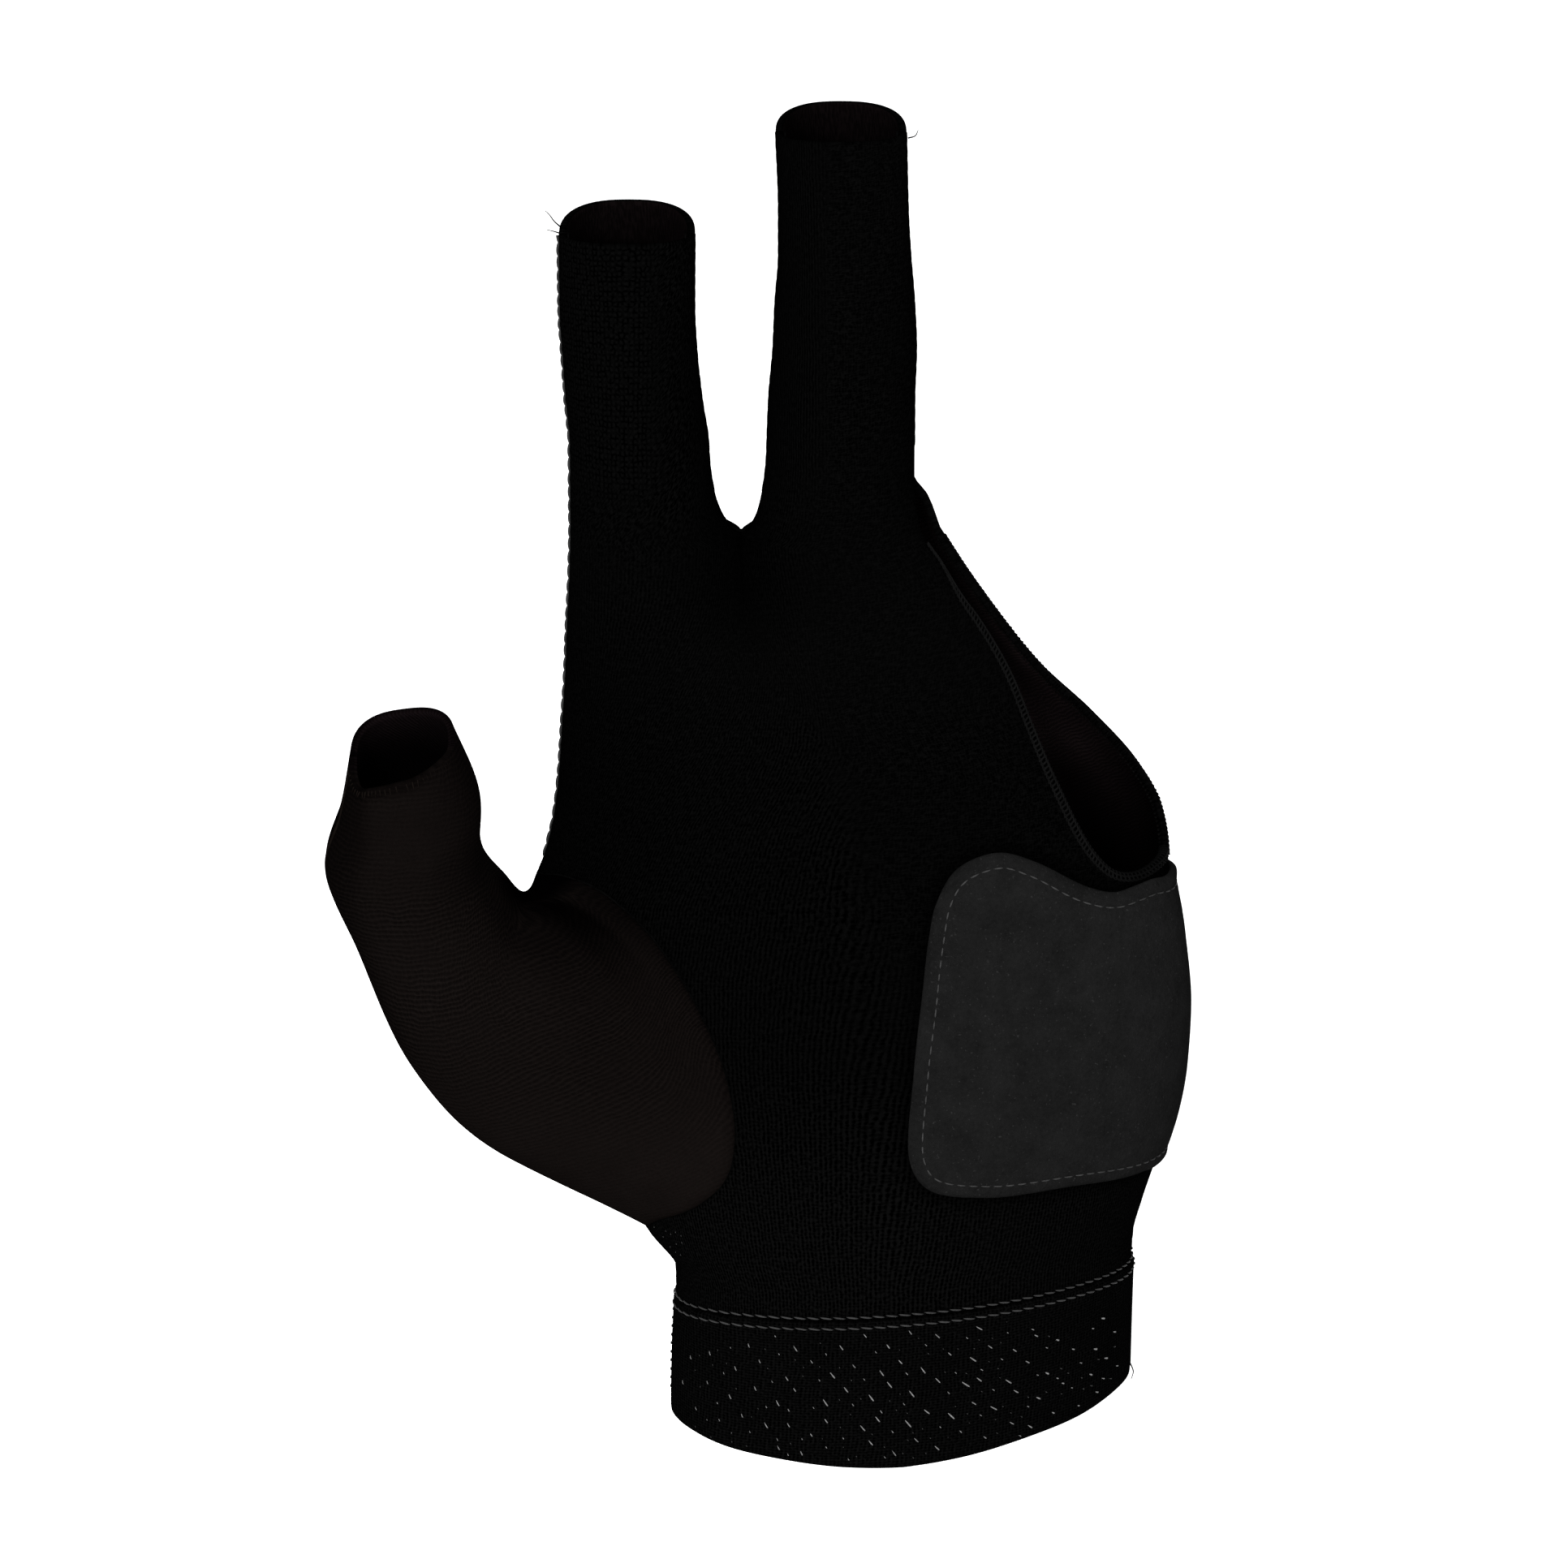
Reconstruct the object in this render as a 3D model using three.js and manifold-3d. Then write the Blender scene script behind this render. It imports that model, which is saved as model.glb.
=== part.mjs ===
// Three-finger billiard glove for the left hand, shaped as it is when worn.
// Millimetres. +Z runs from the wrist to the finger tips, -Y faces out of the palm and
// +X is the side of the little finger. The origin is the centre of the wrist opening.
import * as THREE from 'three';
import { mergeVertices } from 'three/addons/utils/BufferGeometryUtils.js';
import Module from 'manifold-3d';

const { lerp, clamp, smoothstep, degToRad, radToDeg } = THREE.MathUtils;
const wasm = await Module();
wasm.setup();

// Thickness of each cloth, and the gap that sewn pieces keep
const KNIT = 1.1;
const THUMB_KNIT = 1;
const CUFF_ELASTIC = 1.8;
const CUFF_PROUD = 0.35;
const PATCH_SUEDE = 1.1;
const GAP = 0.3;
const THUMB_SEAM_GAP = 0.55;
const PATCH_LIFT = 0.45;

// The seam between hand and cuff, and the cuff's rim, are higher or lower at the sides
const CUFF_SEAM = { middle: 21.6, side: 20.2, sharpness: 6 };
const CUFF_RIM = { middle: -1.2, side: 2, sharpness: 1.3 };

// The web between the two fingers is a saddle with a round bottom. The one wide arch of
// the hand turns into the two arches of the fingers from where they start to show.
const WEB_X = -23.2;
const WEB_HEIGHT = 134.2;
const WEB_SIDE_ROUND = 12;
const WEB_DEPTH_ROUND = 9;
const FINGERS_SHOW = 99;

// Hand sections. The side seams run through left and right, and front and back are the
// depths of the cloth in front of and behind the line between them.
const HAND = table(['z', 'leftX', 'leftY', 'rightX', 'rightY', 'front', 'back', 'power'], [
  [-2, -33.3, -7, 33.4, 7, 22.3, 20.5, 2],
  [12, -33.1, -7, 33.6, 7, 21, 20, 2],
  [21, -32.7, -7, 33.8, 7, 20.2, 19, 2.1],
  [24.5, -32.8, -6.6, 34, 6.5, 20, 18, 2.1],
  [30.5, -37.2, -5, 35.3, 5.5, 20, 16.5, 2.2],
  [40, -42.5, -4.2, 37.9, 4.5, 20, 15.5, 2.3],
  [52, -47.5, -3.8, 40.1, 4, 19, 14.5, 2.4],
  [61, -50.5, -3.4, 40.5, 3.8, 17.5, 14, 2.5],
  [72, -53, -2.6, 39.5, 3.4, 15.8, 13.5, 2.5],
  [80, -53.3, -2, 38.4, 3, 14.8, 13, 2.5],
  [86, -51.4, -1.2, 38.1, 3, 14.2, 12.8, 2.5],
  [92, -50, -0.6, 37, 3, 13.8, 12.6, 2.5],
  [98, -49.3, 0, 33.8, 3, 13.2, 12.3, 2.4],
  [105.5, -48.8, 0, 27.4, 3, 12.6, 12, 2.3],
  [113, -48.3, 0, 19.9, 2.6, 12, 11.5, 2.2],
  [120.3, -48, 0, 14.2, 2.2, 11.3, 11, 2.1],
  [127.6, -47.6, 0, 9.2, 1.6, 10.4, 10.2, 2],
  [134.2, -47.4, 0, 5.2, 1, 9.6, 9.4, 2],
]);

// Finger tubes above the web. Outer is the side away from the other finger. At a tip the
// cloth is flat in front and arched behind.
const INDEX = {
  edge: 'left',
  tip: 180,
  at: table(['z', 'outer', 'outerY', 'inner', 'innerY', 'front', 'back', 'power'], [
    [134.2, -47.4, 0, -27.4, 0, 9.2, 9, 2],
    [147, -47.4, 0, -27.7, 0, 8.7, 8.6, 2],
    [154, -47.9, -0.8, -28.6, -0.8, 7.8, 9.3, 2],
    [161.3, -48.3, -2, -29.3, -2, 6.6, 10.6, 2.1],
    [168.4, -48.6, -3.8, -29.6, -3.8, 4.8, 12.6, 2.2],
    [180, -48.6, -5.9, -29.5, -5.9, 2.7, 15.2, 2.5],
  ]),
};
const MIDDLE = {
  edge: 'right',
  tip: 194.6,
  at: table(['z', 'outer', 'outerY', 'inner', 'innerY', 'front', 'back', 'power'], [
    [134.2, 5.2, 1, -19.7, 0, 9.2, 9, 2],
    [139, 3.5, 0.6, -19.8, 0, 8.9, 8.8, 2],
    [142.4, 1.4, 0.2, -19.7, 0, 8.7, 8.6, 2],
    [154, 1.4, 0, -19.3, 0, 8.5, 8.4, 2],
    [161.3, 1.6, -0.4, -18.7, -0.4, 8, 8.6, 2],
    [168.4, 1.3, -1.2, -18.4, -1.2, 7.2, 9.2, 2.1],
    [176, 0.7, -2.6, -17.9, -2.6, 5.6, 10.6, 2.2],
    [183, 0.3, -4.2, -17.9, -4.2, 3.8, 12.4, 2.3],
    [194.6, 0, -5.2, -18.3, -5.2, 2.6, 13.8, 2.5],
  ]),
};

// Thumb sections from the ball of the thumb to the open tip. Outer and inner are the two
// ends of a section as seen from the front, y is its middle, and lean tips it forwards.
const THUMB_SECTIONS = [
  { outer: [-59.6, 42.9], inner: [-54.3, 80.6], y: -4.5, front: 17, back: 13, lean: 0, power: 2 },
  { outer: [-70.9, 57.1], inner: [-57, 84], y: -7, front: 15, back: 12, lean: 8, power: 2 },
  { outer: [-78.4, 76.5], inner: [-59.4, 88.2], y: -10.5, front: 12, back: 10.5, lean: 14, power: 2 },
  { outer: [-82.3, 89.2], inner: [-60.2, 92.5], y: -14, front: 10.5, back: 9.8, lean: 20, power: 2.1 },
  { outer: [-79.9, 98.5], inner: [-60.1, 100.1], y: -17.5, front: 9.6, back: 9.2, lean: 24, power: 2.3 },
  { outer: [-78.2, 108], inner: [-63.4, 110], y: -21.5, front: 8, back: 7.8, lean: 28, power: 2.7 },
];

// Outlines as seen from the front, in X and Z. The thumb is set into the hand along a
// ring that starts under it, climbs the palm to the web and comes down the back. A place
// past the side of the hand means the side seam.
const THUMB_SEAM_FRONT = [
  [-37.4, 31], [-35.3, 34.4], [-29.4, 38.4], [-25.4, 43], [-24.2, 49.8], [-25.6, 58.3],
  [-28.2, 64.9], [-31.7, 71.5], [-36.3, 78], [-39.7, 81.3], [-44.4, 84.2], [-49.1, 84.9],
];
const THUMB_SEAM_BACK = [
  [-53, 83.2], [-49.4, 82], [-43.5, 76], [-38, 66], [-35, 55], [-34.4, 45], [-35.2, 36],
];
const PALM_EDGE = [
  [1, 144], [2.3, 135.7], [5.2, 130.7], [8.1, 125.6], [10.9, 121.4], [15, 114.2], [18.1, 106.4],
  [21.4, 98.5], [26.8, 88.3], [30.4, 84.85], [33.4, 84.05], [36.4, 84.7], [40, 86.4],
];
const PATCH_FRONT = [
  [46, 37.6], [36, 38.1], [24.8, 39.3], [11.5, 39.3], [3.6, 41.1], [1, 45.1], [1.5, 57.8],
  [2.7, 68.7], [3.7, 77.4], [4.7, 82.1], [7.7, 87.2], [13.4, 89.4], [18.7, 87.8], [26.2, 83.5],
  [30.1, 82.2], [33.1, 82.6], [36, 83.6], [38, 83.9], [46, 84.4],
];
const PATCH_BACK = [
  [46, 37.6], [30, 38.8], [22, 40.2], [18.6, 45], [18, 60], [18.2, 75], [20.6, 81], [28, 83], [46, 84.4],
];
const PATCH_SPLIT_Y = 4;

// The thumb's cloth rises in a roll beside the seam with a valley next to it. Both are
// strongest at one angle round the thumb, between the palm and the web.
const ROLL = { distance: 2.4, width: 1.8, height: 1.3 };
const VALLEY = { distance: 6.2, width: 2.2, height: -1.6 };
const FOLD_ANGLE = 140;
const FOLD_SPREAD = 34;

// In front, the thumb's open end rises towards the palm
const TIP_RISE = { height: 2.3, angle: 140, spread: 55 };

// The palm is slightly hollow between its two mounds
const PALM_HOLLOW = { x: -6, z: 76, radius: 24, depth: 2.2 };

// Mesh resolution: columns across one half of the hand, and where the rows lie
const HAND_COLUMNS = 24;
const HAND_ROWS = [25, 31, 38, 47, 56, 65, 74, 83, 92, 100, 108, 115, 121, 126, 130, 132.8, WEB_HEIGHT];
const FINGER_STEPS = [0.9, 2.6, 5.4, 9, 15, 24, 34];
const CUFF_ROWS = 4;
const PATCH_ROWS = [34, 40, 47, 56, 65, 74, 81, 87, 94];
const PATCH_COLUMNS = 12;
const THUMB_COLUMNS = 28;
const THUMB_ROWS = [0, 0.018, 0.045, 0.08, 0.125, 0.17, 0.23, 0.3, 0.38, 0.47, 0.56, 0.66, 0.76, 0.88, 1];

// Looks a column of a table up at any height, along a smooth curve
function table(names, rows) {
  const heights = rows.map((row) => row[0]);
  const curves = {};
  names.slice(1).forEach((name, i) => {
    curves[name] = monotoneCurve(heights, rows.map((row) => row[i + 1]));
  });
  return (name, height) => curves[name](height);
}

// Cubic curve through given values that never overshoots them
function monotoneCurve(xs, ys) {
  const last = xs.length - 1;
  const slopes = xs.slice(1).map((x, i) => (ys[i + 1] - ys[i]) / (x - xs[i]));
  const tangents = xs.map((_, i) => {
    const before = slopes[Math.max(i - 1, 0)];
    const after = slopes[Math.min(i, last - 1)];
    return before * after <= 0 ? 0 : (2 * before * after) / (before + after);
  });
  return (x) => {
    const i = clamp(xs.findIndex((value) => value > x) - 1, 0, last - 1);
    const start = x >= xs[last] ? last - 1 : i;
    const span = xs[start + 1] - xs[start];
    const t = clamp((x - xs[start]) / span, 0, 1);
    const bend = span * t * (1 - t) * ((1 - t) * tangents[start] - t * tangents[start + 1]);
    return lerp(ys[start], ys[start + 1], t * t * (3 - 2 * t)) + bend;
  };
}

// One half of a superellipse: u runs from -1 at the left seam to 1 at the right seam
function arch(u, power) {
  const angle = (Math.PI * (u + 1)) / 2;
  const across = -Math.cos(angle);
  return {
    share: (Math.sign(across) * Math.abs(across) ** (2 / power) + 1) / 2,
    out: Math.max(Math.sin(angle), 0) ** (2 / power),
  };
}

// Point of a finger tube. Below the web this is the arch that the finger grows out of.
function fingerArch(finger, side, u, z) {
  const height = Math.max(z, WEB_HEIGHT);
  const { share, out } = arch(u, finger.at('power', height));
  const rise = clamp((height - WEB_HEIGHT) / WEB_SIDE_ROUND, 0, 1);
  const innerX = lerp(WEB_X, finger.at('inner', height), Math.sqrt(1 - (1 - rise) ** 2));
  const below = z < WEB_HEIGHT;
  const outerX = below ? HAND(`${finger.edge}X`, z) : finger.at('outer', z);
  const outerY = below ? HAND(`${finger.edge}Y`, z) : finger.at('outerY', z);
  const innerShare = finger === INDEX ? share : 1 - share;
  return {
    x: lerp(outerX, innerX, innerShare),
    seamY: lerp(outerY, finger.at('innerY', height), innerShare),
    depth: finger.at(side < 0 ? 'front' : 'back', height) * out,
  };
}

// Point of the hand below the web
function handArch(side, u, z) {
  const { share, out } = arch(u, HAND('power', z));
  const x = lerp(HAND('leftX', z), HAND('rightX', z), share);
  const seamY = lerp(HAND('leftY', z), HAND('rightY', z), share);
  const hollow = side < 0 ? palmHollow(x, z) : 0;
  const depth = (HAND(side < 0 ? 'front' : 'back', z) - hollow) * out;
  const finger = u < 0 ? fingerArch(INDEX, side, 2 * u + 1, z) : fingerArch(MIDDLE, side, 2 * u - 1, z);
  const fingerShare = smoothstep(z, FINGERS_SHOW, WEB_HEIGHT);
  const closing = clamp((z - WEB_HEIGHT + WEB_DEPTH_ROUND) / WEB_DEPTH_ROUND, 0, 1);
  const handShare = Math.sqrt(1 - closing ** 2);
  return {
    x: lerp(x, finger.x, fingerShare),
    seamY: lerp(seamY, finger.seamY, fingerShare),
    depth: Math.cbrt((fingerShare * finger.depth) ** 3 + (handShare * depth) ** 3),
  };
}

function palmHollow(x, z) {
  const distance = Math.hypot(x - PALM_HOLLOW.x, z - PALM_HOLLOW.z);
  return PALM_HOLLOW.depth * bell(distance, PALM_HOLLOW.radius);
}

// 1 at no distance, falling smoothly to nothing past the width
function bell(distance, width) {
  return Math.exp(-((distance / width) ** 2));
}

// Side is -1 for the palm and 1 for the back. Each point knows where the side seams lie.
function placed({ x, seamY, depth }, side, z) {
  const point = new THREE.Vector3(x, seamY + side * depth, z);
  point.seamY = seamY;
  return point;
}

function handPoint(side, u, z) {
  return placed(handArch(side, u, z), side, z);
}

function fingerPoint(finger, side, u, z) {
  return placed(fingerArch(finger, side, u, z), side, z);
}

// Point of a cut edge that stays at one height through the whole thickness of the cloth
function levelPoint(side, u, z) {
  const point = handPoint(side, u, z);
  point.isLevel = true;
  return point;
}

// Point of the hand in front of or behind a place that is seen from the front
function handPointAt(side, [x, z]) {
  let low = -1;
  let high = 1;
  while (high - low > 1e-9) {
    const middle = (low + high) / 2;
    if (handArch(side, middle, z).x < x) low = middle;
    else high = middle;
  }
  return handPoint(side, low, z);
}

// Points from seam to seam, left to right as seen from outside
function halfRow(side, columns, pointAt) {
  const points = [];
  for (let i = 0; i <= columns; i += 1) {
    points.push(pointAt(side * (1 - (2 * i) / columns)));
  }
  return points;
}

// Welded triangles that face out. A tag tells one region of them from another.
class Surface {
  constructor() {
    this.points = [];
    this.faces = [];
    this.numbers = new Map();
  }

  number(point) {
    const key = point.toArray().map((value) => Math.round(value * 1000)).join(' ');
    if (!this.numbers.has(key)) {
      this.numbers.set(key, this.points.length);
      this.points.push(point);
    }
    return this.numbers.get(key);
  }

  face(a, b, c, tag) {
    const corners = [this.number(a), this.number(b), this.number(c)];
    if (new Set(corners).size === 3) this.faces.push({ corners, tag });
  }

  // Faces between two rows, which both run left to right as seen from outside
  strip(lower, upper, tag) {
    for (let i = 0; i < lower.length - 1; i += 1) {
      this.face(lower[i], lower[i + 1], upper[i + 1], tag);
      this.face(lower[i], upper[i + 1], upper[i], tag);
    }
  }

  normals() {
    const normals = this.points.map(() => new THREE.Vector3());
    this.faces.forEach(({ corners }) => {
      const [a, b, c] = corners.map((corner) => this.points[corner]);
      const normal = b.clone().sub(a).cross(c.clone().sub(a));
      corners.forEach((corner) => normals[corner].add(normal));
    });
    return normals.map((normal) => normal.normalize());
  }

  // Closed wall between two distances from the faces with one tag. The palm and the back
  // each keep half a gap from the side seams.
  wall(outside, inside, tag) {
    const normals = this.normals();
    this.points.forEach((point, corner) => {
      if (point.isLevel) normals[corner].setZ(0).normalize();
    });
    const kept = this.faces.filter((face) => face.tag === tag).map((face) => face.corners);
    const used = [...new Set(kept.flat())];
    const order = new Map(used.map((corner, i) => [corner, 2 * i]));
    const positions = used.flatMap((corner) => [outside, inside].flatMap((distance) => {
      const point = this.points[corner].clone().addScaledVector(normals[corner], distance);
      const { seamY } = this.points[corner];
      if (tag < 0) point.y = Math.min(point.y, seamY - GAP / 2);
      if (tag > 0) point.y = Math.max(point.y, seamY + GAP / 2);
      return point.toArray();
    }));
    const edges = new Set(kept.flatMap(([a, b, c]) => [`${a} ${b}`, `${b} ${c}`, `${c} ${a}`]));
    const triangles = kept.flatMap((corners) => {
      const [a, b, c] = corners.map((corner) => order.get(corner));
      const rims = corners.flatMap((start, i) => {
        const end = corners[(i + 1) % 3];
        if (edges.has(`${end} ${start}`)) return [];
        const p = order.get(start);
        const q = order.get(end);
        return [p, p + 1, q + 1, p, q + 1, q];
      });
      return [a, b, c, a + 1, c + 1, b + 1, ...rims];
    });
    return toSolid(new Float32Array(positions), new Uint32Array(triangles));
  }
}

function toSolid(vertProperties, triVerts) {
  return new wasm.Manifold(new wasm.Mesh({ numProp: 3, vertProperties, triVerts }));
}

function toGeometry(solid) {
  const mesh = solid.getMesh();
  const geometry = new THREE.BufferGeometry();
  geometry.setAttribute('position', new THREE.BufferAttribute(new Float32Array(mesh.vertProperties), 3));
  geometry.setIndex(new THREE.BufferAttribute(new Uint32Array(mesh.triVerts), 1));
  geometry.computeVertexNormals();
  return geometry;
}

// Cutter that has an outline in X and Z and runs from one Y to another
function prism(outline, fromY = -60, toY = 60) {
  const shape = new THREE.Shape(outline.map(([x, z]) => new THREE.Vector2(x, z)));
  const geometry = new THREE.ExtrudeGeometry(shape, { depth: toY - fromY, bevelEnabled: false });
  geometry.rotateX(Math.PI / 2);
  geometry.translate(0, toY, 0);
  geometry.deleteAttribute('normal');
  geometry.deleteAttribute('uv');
  const merged = mergeVertices(geometry, 1e-4);
  return toSolid(new Float32Array(merged.attributes.position.array), new Uint32Array(merged.index.array));
}

function smoothLine(points, pieces) {
  const corners = points.map(([x, z]) => new THREE.Vector3(x, 0, z));
  const curve = new THREE.CatmullRomCurve3(corners, false, 'centripetal');
  return curve.getPoints(pieces).map((point) => [point.x, point.z]);
}

// Line beside another one, to its right for a positive distance
function besideLine(points, distance) {
  return points.map(([x, z], i) => {
    const before = points[Math.max(i - 1, 0)];
    const after = points[Math.min(i + 1, points.length - 1)];
    const along = new THREE.Vector2(after[0] - before[0], after[1] - before[1]).normalize();
    return [x + along.y * distance, z - along.x * distance];
  });
}

// Height of the cuff's seam or rim, which changes towards the sides of the wrist
function cuffLevel(u, { middle, side, sharpness }) {
  return lerp(middle, side, Math.abs(2 * arch(u, 2).share - 1) ** sharpness);
}

// Palm and back of the hand with both fingers, welded at the side seams
function handSurface() {
  const surface = new Surface();
  [-1, 1].forEach((side) => {
    let lower = halfRow(side, HAND_COLUMNS, (u) => {
      return levelPoint(side, u, cuffLevel(u, CUFF_SEAM) + GAP / 2);
    });
    HAND_ROWS.forEach((z) => {
      const upper = halfRow(side, HAND_COLUMNS, (u) => handPoint(side, u, z));
      surface.strip(lower, upper, side);
      lower = upper;
    });
    const middle = HAND_COLUMNS / 2;
    [INDEX, MIDDLE].forEach((finger) => {
      const isFirstHalf = (finger === INDEX) === (side < 0);
      let below = isFirstHalf ? lower.slice(0, middle + 1) : lower.slice(middle);
      [...FINGER_STEPS, finger.tip - WEB_HEIGHT].forEach((step) => {
        const above = halfRow(side, middle, (u) => fingerPoint(finger, side, u, WEB_HEIGHT + step));
        surface.strip(below, above, side);
        below = above;
      });
    });
  });
  return surface;
}

function cuffSurface() {
  const surface = new Surface();
  [-1, 1].forEach((side) => {
    let lower = null;
    for (let i = 0; i <= CUFF_ROWS; i += 1) {
      const upper = halfRow(side, HAND_COLUMNS, (u) => {
        const rim = cuffLevel(u, CUFF_RIM);
        const seam = cuffLevel(u, CUFF_SEAM) - GAP / 2;
        const isEdge = i % CUFF_ROWS === 0;
        return (isEdge ? levelPoint : handPoint)(side, u, lerp(rim, seam, i / CUFF_ROWS));
      });
      if (lower) surface.strip(lower, upper, 0);
      lower = upper;
    }
  });
  return surface;
}

// The heel patch is cut out of a cloth that lies round the hand's outer side
function patchSurface() {
  const surface = new Surface();
  let lower = null;
  PATCH_ROWS.forEach((z) => {
    const front = halfRow(-1, PATCH_COLUMNS, (u) => handPoint(-1, (u + 1) / 2, z));
    const back = halfRow(1, PATCH_COLUMNS, (u) => handPoint(1, (u + 1) / 2, z));
    const upper = [...front, ...back.slice(1)];
    if (lower) surface.strip(lower, upper, 0);
    lower = upper;
  });
  return surface;
}

function thumbSeamRing() {
  const corners = [
    ...THUMB_SEAM_FRONT.map((place) => handPointAt(-1, place)),
    ...THUMB_SEAM_BACK.map((place) => handPointAt(1, place)),
  ];
  return new THREE.CatmullRomCurve3(corners, true, 'centripetal');
}

function thumbSectionPoint(section, angle) {
  const outer = new THREE.Vector3(section.outer[0], section.y, section.outer[1]);
  const inner = new THREE.Vector3(section.inner[0], section.y, section.inner[1]);
  const squared = (value) => Math.sign(value) * Math.abs(value) ** (2 / section.power);
  const across = outer.clone().sub(inner).multiplyScalar(squared(Math.cos(angle)) / 2);
  const lean = degToRad(section.lean);
  const depth = squared(Math.sin(angle)) * (Math.sin(angle) > 0 ? section.front : section.back);
  const forwards = new THREE.Vector3(0, -Math.cos(lean), -Math.sin(lean)).multiplyScalar(depth);
  return outer.add(inner).multiplyScalar(0.5).add(across).add(forwards);
}

// Height of the roll and the valley beside the thumb seam
function foldHeight(angle, distance) {
  const strength = bell(radToDeg(angle) - FOLD_ANGLE, FOLD_SPREAD);
  const roll = ROLL.height * bell(distance - ROLL.distance, ROLL.width);
  const valley = VALLEY.height * bell(distance - VALLEY.distance, VALLEY.width);
  return strength * (roll + valley);
}

function tipRise(angle) {
  const front = Math.max(Math.sin(angle), 0) ** 0.3;
  return TIP_RISE.height * bell(radToDeg(angle) - TIP_RISE.angle, TIP_RISE.spread) * front;
}

function thumbSurface() {
  const ring = thumbSeamRing();
  const surface = new Surface();
  const columns = [];
  for (let i = 0; i <= THUMB_COLUMNS; i += 1) {
    const share = (i % THUMB_COLUMNS) / THUMB_COLUMNS;
    const angle = 2 * Math.PI * share;
    const path = [ring.getPoint(ringShare(share)), ...THUMB_SECTIONS.map((section) => thumbSectionPoint(section, angle))];
    path[path.length - 1].z += tipRise(angle);
    const curve = new THREE.CatmullRomCurve3(path, false, 'centripetal');
    columns.push(THUMB_ROWS.map((t) => {
      const point = curve.getPoint(t);
      point.y -= foldHeight(angle, point.distanceTo(path[0]));
      return point;
    }));
  }
  for (let k = 0; k < THUMB_ROWS.length - 1; k += 1) {
    surface.strip(columns.map((column) => column[k]), columns.map((column) => column[k + 1]), 0);
  }
  return surface;
}

// The first half of the thumb's columns meets the front of the ring, the rest its back
function ringShare(share) {
  const corners = THUMB_SEAM_FRONT.length + THUMB_SEAM_BACK.length;
  const web = THUMB_SEAM_FRONT.length / corners;
  return share < 0.5 ? lerp(0, web, share * 2) : lerp(web, 1, share * 2 - 1);
}

// Region of the hand that the thumb takes, as seen from the front, on one side
function thumbHole(side) {
  const ring = thumbSeamRing();
  const from = side < 0 ? 0 : 0.5;
  const seam = [];
  for (let i = 0; i <= 48; i += 1) {
    const point = ring.getPoint(ringShare(from + (i / 48) / 2) % 1);
    seam.push([point.x, point.z]);
  }
  const upwards = side < 0 ? seam : seam.reverse();
  const beside = besideLine(upwards, THUMB_SEAM_GAP);
  return prism([...beside, [-100, beside.at(-1)[1]], [-100, beside[0][1]]]);
}

function ulnarOpening() {
  return prism([...smoothLine(PALM_EDGE, 48), [60, 86.4], [60, 150], [1, 150]]);
}

function patchOutline() {
  const front = prism(smoothLine(PATCH_FRONT, 64), -60, PATCH_SPLIT_Y);
  const back = prism(smoothLine(PATCH_BACK, 40), PATCH_SPLIT_Y - 0.01, 60);
  return front.add(back);
}

function cloth(name, solid, color, roughness) {
  const material = new THREE.MeshStandardMaterial({ color, roughness, metalness: 0 });
  const mesh = new THREE.Mesh(toGeometry(solid), material);
  mesh.name = name;
  return mesh;
}

const hand = handSurface();
const palm = hand.wall(0, -KNIT, -1).subtract(thumbHole(-1)).subtract(ulnarOpening());
const back = hand.wall(0, -KNIT, 1).subtract(thumbHole(1));
const thumb = thumbSurface().wall(0, -THUMB_KNIT, 0);
const patch = patchSurface().wall(PATCH_LIFT + PATCH_SUEDE, PATCH_LIFT, 0).intersect(patchOutline());
const cuff = cuffSurface().wall(CUFF_PROUD, CUFF_PROUD - CUFF_ELASTIC, 0);

const glove = new THREE.Group();
glove.add(
  cloth('palm_panel', palm, 0x0a0a0a, 0.9),
  cloth('back_panel', back, 0x0d0b0a, 0.9),
  cloth('thumb_sleeve', thumb, 0x12100e, 0.85),
  cloth('heel_patch', patch, 0x1c1c1c, 0.95),
  cloth('wrist_cuff', cuff, 0x0b0b0b, 0.9),
);
export default glove;
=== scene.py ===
import math

import bpy
import numpy as np
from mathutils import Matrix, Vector
from mathutils.geometry import delaunay_2d_cdt


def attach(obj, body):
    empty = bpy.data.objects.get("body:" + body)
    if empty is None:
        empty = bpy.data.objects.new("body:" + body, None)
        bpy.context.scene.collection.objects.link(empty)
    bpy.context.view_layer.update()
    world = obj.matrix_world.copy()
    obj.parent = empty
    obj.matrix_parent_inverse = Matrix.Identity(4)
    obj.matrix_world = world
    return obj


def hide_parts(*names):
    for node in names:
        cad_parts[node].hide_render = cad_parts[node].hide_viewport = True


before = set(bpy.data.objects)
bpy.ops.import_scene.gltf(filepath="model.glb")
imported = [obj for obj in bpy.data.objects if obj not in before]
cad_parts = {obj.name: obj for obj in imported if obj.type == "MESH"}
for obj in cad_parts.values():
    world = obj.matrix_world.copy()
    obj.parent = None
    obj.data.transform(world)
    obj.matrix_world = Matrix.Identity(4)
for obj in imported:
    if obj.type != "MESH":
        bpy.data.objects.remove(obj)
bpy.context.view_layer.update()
MM = 0.001

# Thickness of each cloth, how far the cuff stands out and ripples, and the gaps along seams
KNIT = 1.1
THUMB_KNIT = 1.0
CUFF_ELASTIC = 1.8
CUFF_PROUD = 0.35
CUFF_RIPPLE = 0.10
GAP = 0.3
THUMB_SEAM_GAP = 0.25

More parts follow.
